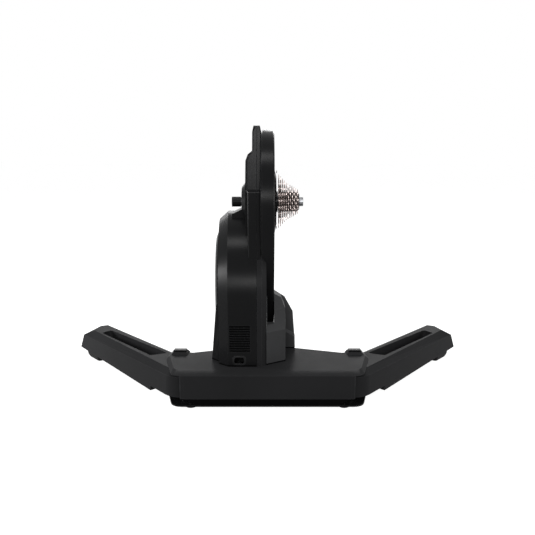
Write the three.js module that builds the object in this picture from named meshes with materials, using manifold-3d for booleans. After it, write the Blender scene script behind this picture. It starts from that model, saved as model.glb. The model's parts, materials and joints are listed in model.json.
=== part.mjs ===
// Direct drive bike trainer, in millimetres: X to the right seen from behind, Y forward, Z up.
// Pieces are drawn with Y measured from the rear face of the base, and the whole is centred at the end.
import * as THREE from "three";
import { mergeVertices } from "three/addons/utils/BufferGeometryUtils.js";
import Module from "manifold-3d";

const wasm = await Module();
wasm.setup();

// Gaps, and how finely round forms are faceted
const seatGap = 0.3;
const runningGap = 0.6;
const overrun = 6;
const largeSides = 48;
const mediumSides = 28;
const smallSides = 16;
const plainSides = 12;
const wheelSides = 24;
const cornerSteps = 5;
const tightSteps = 2;
const tightRounding = 12;

// Places of the two axes that the belt joins
const axleAxis = { forward: 170, height: 370 };
const flywheelAxis = { forward: 193, height: 192 };

const base = {
  rearHalfWidth: 176,
  sideHalfWidth: 200,
  sideForward: 98,
  earHalfWidth: 197,
  earForward: 132,
  earInnerHalfWidth: 150,
  earInnerForward: 121,
  rightRoot: 46,
  rightRootForward: 155,
  leftRoot: 100,
  leftRootForward: 138,
  tongueRight: 34,
  tongueLeft: 86,
  tongueForward: 300,
  plateBottom: 3,
  plateThickness: 3.7,
  undercutTop: 23,
  undercutInset: 9,
  cheekFlare: 6,
  wallTop: 67.4,
  top: 72,
  rearBevel: 17,
  endBevel: 7,
  frontBevel: 4,
  wall: 5,
  rearRounding: 22,
  sideRounding: 30,
  earRounding: 7,
  innerRounding: 10,
  tongueRounding: 24,
  ribThickness: 4,
  ribSpacing: 62,
};

const hinge = { halfSpan: 160, forward: 55, pinRadius: 7, pinHeadRadius: 11, pinHeadHeight: 3.5, bushWall: 2.4 };

const leg = {
  splayAngle: 40.9,
  rootHalfWidth: 42.6,
  tipHalfWidth: 36.8,
  topRootHalfWidth: 25.5,
  topTipHalfWidth: 21.5,
  length: 380,
  noseLength: 392,
  shoulderLength: 376,
  topNearLength: 342,
  topNoseLength: 359.6,
  topFarLength: 356,
  middleNearLength: 363,
  middleNoseLength: 376,
  middleFarLength: 366,
  noseOffset: 5,
  bottomRoot: 9.5,
  bottomTip: 18,
  topRoot: 66,
  topTip: 64.5,
  edgeHeightRoot: 59,
  edgeHeightTip: 51,
  rootBottom: 20,
  rootReach: 57,
  barrelSteps: 12,
  wall: 4,
  ribPlaces: [135, 225, 304, 354],
};

const slot = { rootNear: 99, rootFar: 88, tipNear: 306, tipFar: 313, nearRoot: 15.2, farRoot: 19, nearTip: 17.8, farTip: 8, rounding: 5 };

const pad = { from: 300, to: 358, halfWidth: 34, lowerInset: 5, crownHeight: 7 };

const pocket = { gap: 0.9, cheekRadius: 55, reach: 320 };

const lock = {
  endInset: 22.5,
  frontInset: 16,
  padLength: 37,
  padDepth: 24,
  padSlope: 4.5,
  padHeight: 4,
  capLength: 25,
  capDepth: 14,
  capHeight: 3.6,
  capBevel: 1,
  capWall: 1.7,
  travel: 3,
  floorHeight: 69,
  stemRadius: 2.5,
  springRadius: 4,
  springWire: 0.45,
  springTurns: 3,
  springSteps: 7,
  wireSides: 4,
};

const baseFoot = { radius: 12, lowerRadius: 9.5, halfSpan: 143, rearForward: 21, frontForward: 276, frontRight: 12, frontLeft: 64 };

const housing = {
  rear: 36,
  drumRadius: 157,
  seam: -20,
  spineLeft: -74,
  leftFace: -92,
  bevelRadius: 141,
  flareShare: 0.035,
  wall: 3.5,
  capOpening: 96,
};

const spine = {
  topAboveAxle: 148,
  crownHalfDepth: 20,
  kneeHalfDepth: 78,
  kneeAboveAxle: 28,
  kneeRounding: 14,
  crownRounding: 5,
  root: 240,
  upperLeft: -29.5,
  lowerLeft: -42,
  stepTopAboveAxle: 100.5,
  stepAboveAxle: 94,
  stepBottomAboveAxle: 82,
  stepLeft: -37.5,
  crownLeft: -27,
  crownRight: -15,
  crownBevel: 12,
  right: -12.2,
};

const axleBoss = {
  rootRadius: 41,
  faceRadius: 29,
  face: -51,
  roomRadius: 25,
  gussetHalfDepth: 26,
  gussetLeft: -70,
  gussetRise: 8,
  gussetFoot: 1,
};

const frame = {
  bevelFrom: -10.5,
  right: -2,
  bevelRadius: 146,
  rim: 6,
  webLeft: -14,
  webRight: -6,
  shaftBossRadius: 28,
  shaftBossLeft: -36,
  axleBossRadius: 22,
  axleBossLeft: -38,
  ribThickness: 6,
  ribLeft: -30,
  footLeft: -36,
  footHeight: 8,
  footRear: 62,
  footFront: 270,
  backOverlap: 0.5,
  backThickness: 4,
};

const vent = { right: -31.5, left: -72.5, bottom: 100, top: 152, thickness: 3, slots: 11, slotShare: 0.5, border: 2 };

const inlet = { centre: -53, height: 84, width: 26, tall: 19, flangeThickness: 2.2, bodyDepth: 22, socketDepth: 15, wall: 2.4, pinWidth: 2, pinTall: 3.4, pinLength: 10, rounding: 4 };

const cap = { radius: 114, rimDepth: 2.6, bevelRadius: 104, bevelDepth: 4, dome: -101.5, wall: 2.6, spigotWall: 2.6, spigotDepth: 5, domeSteps: 2, insideSteps: 1 };

const cover = {
  left: -10,
  right: 13,
  beltRoom: 16,
  flywheelRadius: 80,
  draft: 1.6,
  edge: 2.4,
  wall: 2.6,
  lipInset: 4,
  hubHole: 38,
  arcSteps: 22,
};

const hubRing = { rootRadius: 66, faceRadius: 51, right: 17.4 };

const fairing = {
  left: -108,
  rear: 57,
  corner: 79,
  front: 138,
  heel: 160,
  topLeft: -97.5,
  topRear: 56,
  topCorner: 62,
  topFront: 96,
  topHeel: 104,
  top: 186,
};

const pod = {
  rear: 58,
  cornerRight: 35,
  cornerRear: 78,
  right: 56,
  rightRear: 136,
  frontRight: 52,
  front: 150,
  heel: 158,
  ridgeHeight: 132,
  ridgeRear: 74,
  shoulderRight: 51,
  shoulderRear: 112,
  shoulderHeight: 110,
  flankRight: 51,
  flankHeight: 147,
  topHeight: 191,
  topRear: 126,
  topRight: 34,
  topRightHeight: 182,
  topRightRear: 138,
};

const axle = {
  radius: 8.5,
  outerRadius: 7.5,
  bore: 6.2,
  shoulderRadius: 12,
  dropoutHalfSpacing: 71,
  leftEnd: -60,
  stepAt: 21,
  rightEnd: 66,
  leftCapRadius: 10,
  leftCapLength: 18,
  rightCapRadius: 9,
  rightCapLength: 7.9,
  capFlats: 12,
  nutRadius: 14,
  nutThickness: 6,
};

const pulley = {
  radiusShare: 0.6965,
  smallShare: 0.16,
  rim: 6,
  left: -4.5,
  right: 9,
  webLeft: 0,
  webRight: 4,
  hubRadius: 21,
  hubLeft: -5.5,
  hubRight: 20.2,
  windows: 6,
  windowShare: 0.55,
};
const axesApart = Math.hypot(axleAxis.forward - flywheelAxis.forward, axleAxis.height - flywheelAxis.height);
const pulleyRadius = axesApart * pulley.radiusShare;
const smallPulleyRadius = pulleyRadius * pulley.smallShare;

const bearing = { outerRadius: 15, width: 7, leftFrom: -5.1, rightFrom: 12.8 };
const shaftBearing = { outerRadius: 21, width: 12, leftFrom: -35, rightFrom: -18.5 };
const belt = { thickness: 3.2, left: -3.4, right: 7.9 };

const flywheel = {
  radius: 118,
  rimInner: 90,
  left: -80,
  right: -42,
  webLeft: -65,
  webRight: -57,
  hubRadius: 24,
  shaftRadius: 10,
  shaftLeft: -74,
  shaftRight: 9,
  collarRadius: 13,
};

const brake = {
  plateThickness: 4,
  innerRadius: 72,
  outerRadius: 116,
  halfAngle: 62,
  poles: 5,
  poleRadius: 10,
  poleGap: 1.6,
};

const board = { rear: 62, front: 118, bottom: 98, top: 170, thickness: 1.6, left: -30, standoffRadius: 3.5, standoffInset: 8, chip: 16, chipHeight: 3 };

const cassette = {
  teeth: [25, 23, 21, 19, 17, 16, 15, 14, 13, 12, 11],
  firstCentre: 22.4,
  pitch: 3.74,
  thickness: 1.8,
  chainPitch: 12.7,
  rollerRadius: 3.9,
  collarRadius: 19.2,
  windowedCogs: 4,
  windows: 5,
  windowInner: 24.5,
  windowRim: 8.5,
  carrierArmRadius: 33,
  carrierThickness: 1.3,
  carrierRing: 22.5,
};

// A tooth from gap to gap: share of the tooth's angle, and share of its height
const toothShares = [
  [0.16, 0],
  [0.5, 1],
  [0.84, 0],
];
const legDraftShare = 0.0006;
const windowAngleShare = 0.66;
const armAngleShare = 0.24;

const freehub = { radius: 17.25, groove: 1.5, splines: 9, bore: 12.4, left: 20.8, right: 58.4, bearingWidth: 7, bearingFrom: 50 };
const lockring = { radius: 16.2, width: 1.9, spigotWall: 1.6, spigotDepth: 3.2 };

// Finishes, each a plain colour with its sheen
function finish(color, roughness, metalness) {
  return new THREE.MeshStandardMaterial({ color, roughness, metalness });
}
const blackPlastic = finish(0x242527, 0.55, 0);
const darkPlastic = finish(0x161718, 0.5, 0);
const blackPaint = finish(0x1f2022, 0.45, 0.3);
const rubberBlack = finish(0x121212, 0.9, 0);
const cogSteel = finish(0xb3a49c, 0.3, 1);
const barSteel = finish(0x8d9094, 0.35, 1);
const greyAluminium = finish(0x77797c, 0.4, 1);
const darkAluminium = finish(0x202124, 0.4, 0.8);
const boardGreen = finish(0x1d4a2f, 0.5, 0);

// Turns a closed geometry into a solid for joining and cutting, its faces pointing out
function solidOf(geometry) {
  const plain = geometry.clone();
  plain.deleteAttribute("normal");
  plain.deleteAttribute("uv");
  const merged = mergeVertices(plain);
  const corners = merged.index.array;
  const kept = [];
  for (let i = 0; i < corners.length; i += 3) {
    const [a, b, c] = corners.slice(i, i + 3);
    if (a !== b && b !== c && c !== a) kept.push([a, b, c]);
  }
  const made = manifoldOf(merged, kept);
  return made.volume() > 0 ? made : manifoldOf(merged, kept.map(([a, b, c]) => [a, c, b]));
}

function manifoldOf(merged, triangles) {
  return new wasm.Manifold(
    new wasm.Mesh({
      numProp: 3,
      vertProperties: merged.attributes.position.array,
      triVerts: new Uint32Array(triangles.flat()),
    }),
  );
}

function geometryOf(solid) {
  const mesh = solid.getMesh();
  const geometry = new THREE.BufferGeometry();
  geometry.setAttribute("position", new THREE.BufferAttribute(mesh.vertProperties, 3));
  geometry.setIndex(new THREE.BufferAttribute(mesh.triVerts, 1));
  geometry.computeVertexNormals();
  return geometry;
}

function moved(solid, matrix) {
  return solidOf(geometryOf(solid).applyMatrix4(matrix));
}

function join(...solids) {
  return solids.reduce((whole, next) => whole.add(next));
}

function cut(solid, ...tools) {
  return tools.reduce((left, tool) => left.subtract(tool), solid);
}

// Plates: a flat outline given its thickness along one axis
const outlineAcrossX = new THREE.Matrix4().set(0, 0, 1, 0, 1, 0, 0, 0, 0, 1, 0, 0, 0, 0, 0, 1);
const outlineAcrossY = new THREE.Matrix4().set(1, 0, 0, 0, 0, 0, -1, 0, 0, 1, 0, 0, 0, 0, 0, 1);

function extruded(shape, depth) {
  return new THREE.ExtrudeGeometry(shape, { depth, bevelEnabled: false, curveSegments: cornerSteps });
}

function plateX(shape, from, to) {
  return solidOf(extruded(shape, to - from).applyMatrix4(outlineAcrossX).translate(from, 0, 0));
}

function plateY(shape, from, to) {
  return solidOf(extruded(shape, to - from).applyMatrix4(outlineAcrossY).translate(0, to, 0));
}

function plateZ(shape, from, to) {
  return solidOf(extruded(shape, to - from).translate(0, 0, from));
}

function box(x, y, z) {
  const [width, depth, height] = [x[1] - x[0], y[1] - y[0], z[1] - z[0]];
  const geometry = new THREE.BoxGeometry(width, depth, height);
  return solidOf(geometry.translate(x[0] + width / 2, y[0] + depth / 2, z[0] + height / 2));
}

// Turned pieces: a profile of [radius, place] pairs spun round an axis along X or Z
function spun(profile, sides) {
  return new THREE.LatheGeometry(profile.map(([r, place]) => new THREE.Vector2(r, place)), sides);
}

function turnedX(profile, axis, sides = mediumSides) {
  const geometry = spun(profile, sides).rotateZ(-Math.PI / 2);
  return solidOf(geometry.translate(0, axis.forward, axis.height));
}

function turnedZ(profile, x, y, sides = smallSides) {
  return solidOf(spun(profile, sides).rotateX(Math.PI / 2).translate(x, y, 0));
}

function rod(radius, from, to) {
  return [[0, from], [radius, from], [radius, to], [0, to]];
}

function ring(inner, outer, from, to) {
  return [[inner, from], [outer, from], [outer, to], [inner, to], [inner, from]];
}

// Outlines: straight sides with rounded corners, the same number of points for every inset
function unit([x, y]) {
  const length = Math.hypot(x, y);
  return [x / length, y / length];
}

function insetCorners(corners, insets) {
  const count = corners.length;
  const sides = corners.map((corner, i) => {
    const next = corners[(i + 1) % count];
    const along = unit([next[0] - corner[0], next[1] - corner[1]]);
    const inward = [-along[1], along[0]];
    return { along, start: [corner[0] + inward[0] * insets[i], corner[1] + inward[1] * insets[i]] };
  });
  return sides.map((side, i) => {
    const before = sides[(i + count - 1) % count];
    const turn = before.along[0] * side.along[1] - before.along[1] * side.along[0];
    const gap = [side.start[0] - before.start[0], side.start[1] - before.start[1]];
    const reach = (gap[0] * side.along[1] - gap[1] * side.along[0]) / turn;
    return [before.start[0] + before.along[0] * reach, before.start[1] + before.along[1] * reach];
  });
}

function roundedCorners(corners, roundings) {
  const count = corners.length;
  return corners.flatMap((corner, i) => {
    const before = corners[(i + count - 1) % count];
    const after = corners[(i + 1) % count];
    const back = unit([before[0] - corner[0], before[1] - corner[1]]);
    const on = unit([after[0] - corner[0], after[1] - corner[1]]);
    const middle = unit([back[0] + on[0], back[1] + on[1]]);
    const half = Math.acos(back[0] * on[0] + back[1] * on[1]) / 2;
    const reach = roundings[i] / Math.sin(half);
    const centre = [corner[0] + middle[0] * reach, corner[1] + middle[1] * reach];
    const edge = roundings[i] / Math.tan(half);
    const start = [corner[0] + back[0] * edge - centre[0], corner[1] + back[1] * edge - centre[1]];
    const end = [corner[0] + on[0] * edge - centre[0], corner[1] + on[1] * edge - centre[1]];
    const from = Math.atan2(start[1], start[0]);
    let sweep = Math.atan2(end[1], end[0]) - from;
    if (sweep > Math.PI) sweep -= 2 * Math.PI;
    if (sweep < -Math.PI) sweep += 2 * Math.PI;
    const steps = roundings[i] > tightRounding ? cornerSteps : tightSteps;
    return Array.from({ length: steps + 1 }, (unused, k) => {
      const angle = from + (sweep * k) / steps;
      return [centre[0] + roundings[i] * Math.cos(angle), centre[1] + roundings[i] * Math.sin(angle)];
    });
  });
}

function shapeOf(points, holes = []) {
  const shape = new THREE.Shape(points.map(([x, y]) => new THREE.Vector2(x, y)));
  shape.holes = holes.map((hole) => new THREE.Path(hole.map(([x, y]) => new THREE.Vector2(x, y))));
  return shape;
}

function rectangle(x, y, rounding = 0) {
  const corners = [[x[0], y[0]], [x[1], y[0]], [x[1], y[1]], [x[0], y[1]]];
  return rounding ? roundedCorners(corners, corners.map(() => rounding)) : corners;
}

function disc(radius, x, y, sides = smallSides) {
  return Array.from({ length: sides }, (unused, k) => {
    const angle = (2 * Math.PI * k) / sides;
    return [x + radius * Math.cos(angle), y + radius * Math.sin(angle)];
  });
}

// A solid that passes through rings of points, each ring with as many points as the last
function lofted(rings) {
  const count = rings[0].length;
  const points = rings.flat();
  const index = [];
  for (let level = 0; level + 1 < rings.length; level += 1) {
    for (let k = 0; k < count; k += 1) {
      const [a, b] = [level * count + k, level * count + ((k + 1) % count)];
      index.push(a, b, b + count, a, b + count, a + count);
    }
  }
  const lastLevel = (rings.length - 1) * count;
  for (const [first, flipped] of [[0, true], [lastLevel, false]]) {
    const flat = points.slice(first, first + count).map(flatPoint(rings[0]));
    for (const [a, b, c] of THREE.ShapeUtils.triangulateShape(flat, [])) {
      index.push(...(flipped ? [first + a, first + c, first + b] : [first + a, first + b, first + c]));
    }
  }
  const geometry = new THREE.BufferGeometry();
  geometry.setAttribute("position", new THREE.BufferAttribute(new Float32Array(points.flat()), 3));
  geometry.setIndex(index);
  return solidOf(geometry);
}

// Drops the coordinate along which a ring is flattest, so that its end can be filled in
function flatPoint(ring) {
  const spread = [0, 1, 2].map((i) => Math.max(...ring.map((p) => p[i])) - Math.min(...ring.map((p) => p[i])));
  const across = spread.indexOf(Math.min(...spread));
  const [first, second] = [[1, 2], [2, 0], [0, 1]][across];
  return (point) => new THREE.Vector2(point[first], point[second]);
}

function level(points, height) {
  return points.map(([x, y]) => [x, y, height]);
}

function facing(points, x) {
  return points.map(([y, z]) => [x, y, z]);
}

// The line round two wheels of a belt drive, as [Y, Z] points
function roundBothAxes(axleRadius, flywheelRadius) {
  const heading = Math.atan2(axleAxis.height - flywheelAxis.height, axleAxis.forward - flywheelAxis.forward);
  const half = Math.PI - Math.acos((axleRadius - flywheelRadius) / axesApart);
  const arc = (axis, radius, from, to) =>
    Array.from({ length: cover.arcSteps + 1 }, (unused, k) => {
      const angle = from + ((to - from) * k) / cover.arcSteps;
      return [axis.forward + radius * Math.cos(angle), axis.height + radius * Math.sin(angle)];
    });
  return [
    ...arc(axleAxis, axleRadius, heading - half, heading + half),
    ...arc(flywheelAxis, flywheelRadius, heading + half, heading + 2 * Math.PI - half),
  ];
}

function piece(name, solid, material) {
  const mesh = new THREE.Mesh(geometryOf(solid), material);
  mesh.name = name;
  return mesh;
}

// Base: a shell that is open below, its bottom plate, and a pocket at each end for a leg
const baseCorners = [
  [-base.rearHalfWidth, 0],
  [base.rearHalfWidth, 0],
  [base.sideHalfWidth, base.sideForward],
  [base.earHalfWidth, base.earForward],
  [base.earInnerHalfWidth, base.earInnerForward],
  [base.rightRoot, base.rightRootForward],
  [base.tongueRight, base.tongueForward],
  [-base.tongueLeft, base.tongueForward],
  [-base.leftRoot, base.leftRootForward],
  [-base.earInnerHalfWidth, base.earInnerForward],
  [-base.earHalfWidth, base.earForward],
  [-base.sideHalfWidth, base.sideForward],
];
const baseRoundings = [
  base.rearRounding,
  base.rearRounding,
  base.sideRounding,
  base.earRounding,
  base.innerRounding,
  base.innerRounding,
  base.tongueRounding,
  base.tongueRounding,
  base.innerRounding,
  base.innerRounding,
  base.earRounding,
  base.sideRounding,
];

// Insets by edge: the rear edge first, then anticlockwise seen from above
function edgeInsets(rear, ends, front) {
  return [rear, ends, ends, ...Array(7).fill(front), ends, ends];
}

function baseRing(insets) {
  return roundedCorners(insetCorners(baseCorners, insets), baseRoundings);
}

const undercutRise = base.undercutTop - base.plateBottom;
const plateTop = base.plateBottom + base.plateThickness;
const shellBottom = plateTop + seatGap;

function undercutAt(height, endInset = 0) {
  const inset = (base.undercutInset * (base.undercutTop - height)) / undercutRise;
  return edgeInsets(inset, endInset, inset);
}

// The room that a leg's root sweeps, as an outline with its round side towards the base
function pocketOutline(radius, arcRadius) {
  const splay = THREE.MathUtils.degToRad(leg.splayAngle);
  const outward = [-Math.sin(splay), Math.cos(splay)];
  const near = [-Math.cos(splay), -Math.sin(splay)];
  const start = Math.sqrt(arcRadius ** 2 - radius ** 2);
  const from = Math.atan2(near[1] * radius + outward[1] * start, near[0] * radius + outward[0] * start);
  const to = Math.atan2(start, radius);
  const sweep = to - from + (to < from ? 2 * Math.PI : 0);
  const arc = Array.from({ length: smallSides + 1 }, (unused, k) => {
    const angle = from + (sweep * k) / smallSides;
    return [-hinge.halfSpan + arcRadius * Math.cos(angle), hinge.forward + arcRadius * Math.sin(angle)];
  });
  const innerFar = [-hinge.halfSpan + radius, hinge.forward + pocket.reach];
  const outerFar = [arc[0][0] + outward[0] * pocket.reach, arc[0][1] + outward[1] * pocket.reach];
  return [...arc, innerFar, outerFar];
}

function mirrored(points) {
  return points.map(([x, y]) => [-x, y]).reverse();
}

function bothEnds(points, from, to) {
  return [plateZ(shapeOf(points), from, to), plateZ(shapeOf(mirrored(points)), from, to)];
}

const pocketRadius = leg.rootHalfWidth + pocket.gap;
const cheekTop = leg.rootBottom - seatGap - runningGap;
const cheekUnderside = leg.topRoot + seatGap + runningGap;
const centralHalfWidth = hinge.halfSpan - pocketRadius - base.wall;

function makeBaseShell() {
  const outer = lofted([
    level(baseRing(undercutAt(shellBottom)), shellBottom),
    level(baseRing(undercutAt(base.undercutTop)), base.undercutTop),
    level(baseRing(edgeInsets(0, 0, 0)), base.wallTop),
    level(baseRing(edgeInsets(base.rearBevel, base.endBevel, base.frontBevel)), base.top),
  ]);
  const cheeks = lofted([
    level(baseRing(undercutAt(shellBottom, -base.cheekFlare / 3)), shellBottom),
    level(baseRing(undercutAt(cheekTop, -base.cheekFlare)), cheekTop),
  ]);
  const roomInset = base.undercutInset + base.wall;
  const roomOutline = baseRing(edgeInsets(roomInset, roomInset, roomInset));
  const room = plateZ(shapeOf(roomOutline), shellBottom - overrun, base.wallTop - base.wall / 2);
  const middle = box(
    [-centralHalfWidth, centralHalfWidth],
    [-overrun, base.tongueForward + overrun],
    [shellBottom - overrun, base.top],
  );
  const ribs = [];
  for (let x = -base.ribSpacing; x <= base.ribSpacing; x += base.ribSpacing) {
    const across = [x - base.ribThickness / 2, x + base.ribThickness / 2];
    ribs.push(box(across, [0, base.tongueForward], [shellBottom, base.top]));
  }
  const pads = [-1, 1].map((side) => makeLockPad(side));
  const pinTop = base.top - base.wall / 2;
  const pinHoles = [-1, 1].map((side) =>
    turnedZ(rod(hinge.pinRadius + seatGap, 0, pinTop), side * hinge.halfSpan, hinge.forward),
  );
  return cut(
    join(outer, cheeks, ...pads),
    cut(room.intersect(middle), ...ribs),
    ...bothEnds(pocketOutline(pocketRadius, pocketRadius), cheekTop, cheekUnderside),
    ...bothEnds(pocketOutline(pocketRadius, pocket.cheekRadius), 0, cheekUnderside),
    ...pinHoles,
    ...[-1, 1].flatMap((side) => makeLockRoom(side)),
  );
}

function centred(place, length) {
  return [place - length / 2, place + length / 2];
}

// The raised pad on each ear, and the room in it for the lock's cap and stem
const lockHalfSpan = base.earHalfWidth - lock.endInset;
const lockForward = base.earForward - lock.frontInset;

function makeLockPad(side) {
  const at = (length, depth, height) =>
    level(rectangle(centred(side * lockHalfSpan, length), centred(lockForward, depth)), height);
  const slopes = 2 * lock.padSlope;
  return lofted([
    at(lock.padLength, lock.padDepth, base.top - base.frontBevel / 2),
    at(lock.padLength - slopes, lock.padDepth - lock.padSlope, base.top + lock.padHeight),
  ]);
}

function makeLockRoom(side) {
  const x = side * lockHalfSpan;
  const length = centred(x, lock.capLength + 2 * seatGap);
  const depth = centred(lockForward, lock.capDepth + 2 * seatGap);
  return [
    box(length, depth, [lock.floorHeight, base.top + lock.padHeight + overrun]),
    turnedZ(rod(lock.stemRadius + seatGap, leg.rootBottom, base.top), x, lockForward),
  ];
}

function makeBasePlate() {
  const rise = (height) => level(baseRing(undercutAt(height)), height);
  const plate = lofted([rise(base.plateBottom), rise(plateTop)]);
  const pinHoles = [-1, 1].map((side) =>
    turnedZ(rod(hinge.pinHeadRadius + seatGap, 0, base.top), side * hinge.halfSpan, hinge.forward),
  );
  return cut(plate, ...pinHoles);
}

// Foot of the base: a short rubber disc that narrows to the floor
function makeBaseFoot(x, y) {
  const top = base.plateBottom - seatGap;
  return turnedZ([[0, 0], [baseFoot.lowerRadius, 0], [baseFoot.radius, top / 2], [baseFoot.radius, top], [0, top]], x, y);
}

// Leg, drawn along +Y from its hinge; positive X is the side that faces forward when it is open
function legRing(halfRoot, halfTip, near, nose, far, heights) {
  const barrel = Array.from({ length: leg.barrelSteps + 1 }, (unused, k) => {
    const angle = Math.PI + (Math.PI * k) / leg.barrelSteps;
    return [halfRoot * Math.cos(angle), halfRoot * Math.sin(angle), heights[0]];
  });
  return [...barrel, [halfTip, far, heights[1]], [leg.noseOffset, nose, heights[1]], [-halfTip, near, heights[1]]];
}

const bushRadius = hinge.pinRadius + runningGap + hinge.bushWall;

function edgeHalfWidth(bottomHalf, edgeHeight) {
  return bottomHalf * (1 - edgeHeight * legDraftShare);
}

function legBottomAt(along) {
  return leg.bottomRoot + ((leg.bottomTip - leg.bottomRoot) * along) / leg.length;
}

function legForm(inset, lowering) {
  const edgeRoot = leg.edgeHeightRoot - inset;
  const edgeTip = leg.edgeHeightTip - inset;
  return lofted([
    legRing(
      leg.rootHalfWidth - inset,
      leg.tipHalfWidth - inset,
      leg.length - inset,
      leg.noseLength - inset,
      leg.shoulderLength - inset,
      [leg.bottomRoot - lowering, leg.bottomTip - lowering],
    ),
    legRing(
      edgeHalfWidth(leg.rootHalfWidth, edgeRoot) - inset,
      edgeHalfWidth(leg.tipHalfWidth, edgeTip) - inset,
      leg.middleNearLength - inset,
      leg.middleNoseLength - inset,
      leg.middleFarLength - inset,
      [edgeRoot, edgeTip],
    ),
    legRing(
      leg.topRootHalfWidth - inset,
      leg.topTipHalfWidth - inset,
      leg.topNearLength - inset,
      leg.topNoseLength - inset,
      leg.topFarLength - inset,
      [leg.topRoot - inset, leg.topTip - inset],
    ),
  ]);
}

// The hollow under a leg: walls all round, a wall round the grip slot, and ribs across
function makeLegRoom(slotCorners) {
  const wide = [-leg.length, leg.length];
  const reach = box(wide, [leg.rootReach + leg.wall, leg.length], [leg.bottomRoot, leg.topRoot]);
  const slotWall = insetCorners(slotCorners, slotCorners.map(() => -leg.wall));
  const ribs = leg.ribPlaces.map((along) => box(wide, centred(along, leg.wall), [0, leg.topRoot]));
  return cut(legForm(leg.wall, leg.wall).intersect(reach), plateZ(shapeOf(slotWall), 0, leg.topRoot), ...ribs);
}

function makeLeg() {
  const slotCorners = [
    [-slot.nearRoot, slot.rootNear],
    [slot.farRoot, slot.rootFar],
    [slot.farTip, slot.tipFar],
    [-slot.nearTip, slot.tipNear],
  ];
  const slotOutline = roundedCorners(slotCorners, slotCorners.map(() => slot.rounding));
  const rootStep = box([-leg.length, leg.length], [-leg.length, leg.rootReach], [0, leg.rootBottom]);
  const bushHole = turnedZ(rod(bushRadius + seatGap, 0, base.top), 0, 0);
  const slotRoom = plateZ(shapeOf(slotOutline), 0, base.top);
  return cut(legForm(0, 0), makeLegRoom(slotCorners), slotRoom, rootStep, bushHole);
}

function makeLegPad() {
  const inset = pad.lowerInset;
  const outline = (shrink) =>
    rectangle([-pad.halfWidth + shrink, pad.halfWidth - shrink], [pad.from + shrink, pad.to - shrink], slot.rounding);
  const seat = outline(0).map(([x, y]) => [x, y, legBottomAt(y) - seatGap]);
  return lofted([level(outline(inset), 0), level(outline(inset / 3), pad.crownHeight), seat]);
}

function makeHingePin() {
  const top = base.top - base.wall / 2 - seatGap;
  const shoulder = shellBottom - seatGap;
  const head = shoulder - hinge.pinHeadHeight;
  return turnedZ(
    [[0, head], [hinge.pinHeadRadius, head], [hinge.pinHeadRadius, shoulder], [hinge.pinRadius, shoulder], [hinge.pinRadius, top], [0, top]],
    0,
    0,
  );
}

function makeHingeBush() {
  return turnedZ(ring(hinge.pinRadius + runningGap, bushRadius, leg.rootBottom, leg.topRoot), 0, 0);
}

// Lock: a cap whose stem passes through the base's roof when it is pressed, and the spring under the cap
function makeLockCap() {
  const stemBottom = leg.topRoot + lock.travel + runningGap;
  const bottom = lock.floorHeight + lock.travel + seatGap;
  const top = base.top + lock.padHeight + lock.capHeight;
  const at = (inset, height) =>
    level(rectangle(centred(0, lock.capLength - 2 * inset), centred(0, lock.capDepth - 2 * inset)), height);
  const cap = lofted([at(0, bottom), at(0, top - lock.capBevel), at(lock.capBevel, top)]);
  const roof = top - lock.capWall;
  const room = box(
    centred(0, lock.capLength - 2 * lock.capWall),
    centred(0, lock.capDepth - 2 * lock.capWall),
    [bottom - overrun, roof],
  );
  return join(cut(cap, room), turnedZ(rod(lock.stemRadius, stemBottom, roof + lock.capWall / 2), 0, 0));
}

function makeLockSpring() {
  const bottom = lock.floorHeight + seatGap + lock.springWire;
  const top = base.top + lock.padHeight + lock.capHeight - lock.capWall - seatGap - lock.springWire;
  const steps = lock.springTurns * lock.springSteps;
  const points = Array.from({ length: steps + 1 }, (unused, k) => {
    const angle = (2 * Math.PI * k) / lock.springSteps;
    const height = bottom + ((top - bottom) * k) / steps;
    return new THREE.Vector3(lock.springRadius * Math.cos(angle), lock.springRadius * Math.sin(angle), height);
  });
  const section = shapeOf(disc(lock.springWire, 0, 0, lock.wireSides));
  return solidOf(new THREE.ExtrudeGeometry(section, { steps, extrudePath: new THREE.CatmullRomCurve3(points) }));
}

// One end of the base with its leg; the right end is the left one mirrored
function makeLegSide(side) {
  const end = new THREE.Group();
  const legs = new THREE.Group();
  legs.add(piece(`${side}_leg`, makeLeg(), blackPaint));
  legs.add(piece(`${side}_leg_pad`, makeLegPad(), rubberBlack));
  legs.add(piece(`${side}_hinge_bush`, makeHingeBush(), darkPlastic));
  legs.add(piece(`${side}_hinge_pin`, makeHingePin(), barSteel));
  legs.position.set(-hinge.halfSpan, hinge.forward, 0);
  legs.rotation.z = THREE.MathUtils.degToRad(leg.splayAngle);
  const catches = new THREE.Group();
  catches.add(piece(`${side}_lock_button`, makeLockCap(), darkPlastic));
  catches.add(piece(`${side}_lock_spring`, makeLockSpring(), barSteel));
  catches.position.set(-lockHalfSpan, lockForward, 0);
  end.add(legs, catches);
  end.scale.x = side === "right" ? -1 : 1;
  return end;
}

// Spine: the tall narrow middle, given by its outline from the side and from the front
const standHeight = base.top + seatGap;
const spineTop = axleAxis.height + spine.topAboveAxle;
const kneeHeight = axleAxis.height + spine.kneeAboveAxle;

function spineSide(inset) {
  const crown = axleAxis.forward - spine.crownHalfDepth;
  const knee = axleAxis.forward - spine.kneeHalfDepth;
  const corners = [
    [knee, spine.root],
    [2 * axleAxis.forward - knee, spine.root],
    [2 * axleAxis.forward - knee, kneeHeight],
    [2 * axleAxis.forward - crown, spineTop],
    [crown, spineTop],
    [knee, kneeHeight],
  ];
  const roundings = [spine.crownRounding, spine.crownRounding, spine.kneeRounding, spine.crownRounding, spine.crownRounding, spine.kneeRounding];
  return shapeOf(roundedCorners(insetCorners(corners, corners.map(() => inset)), roundings));
}

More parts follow.
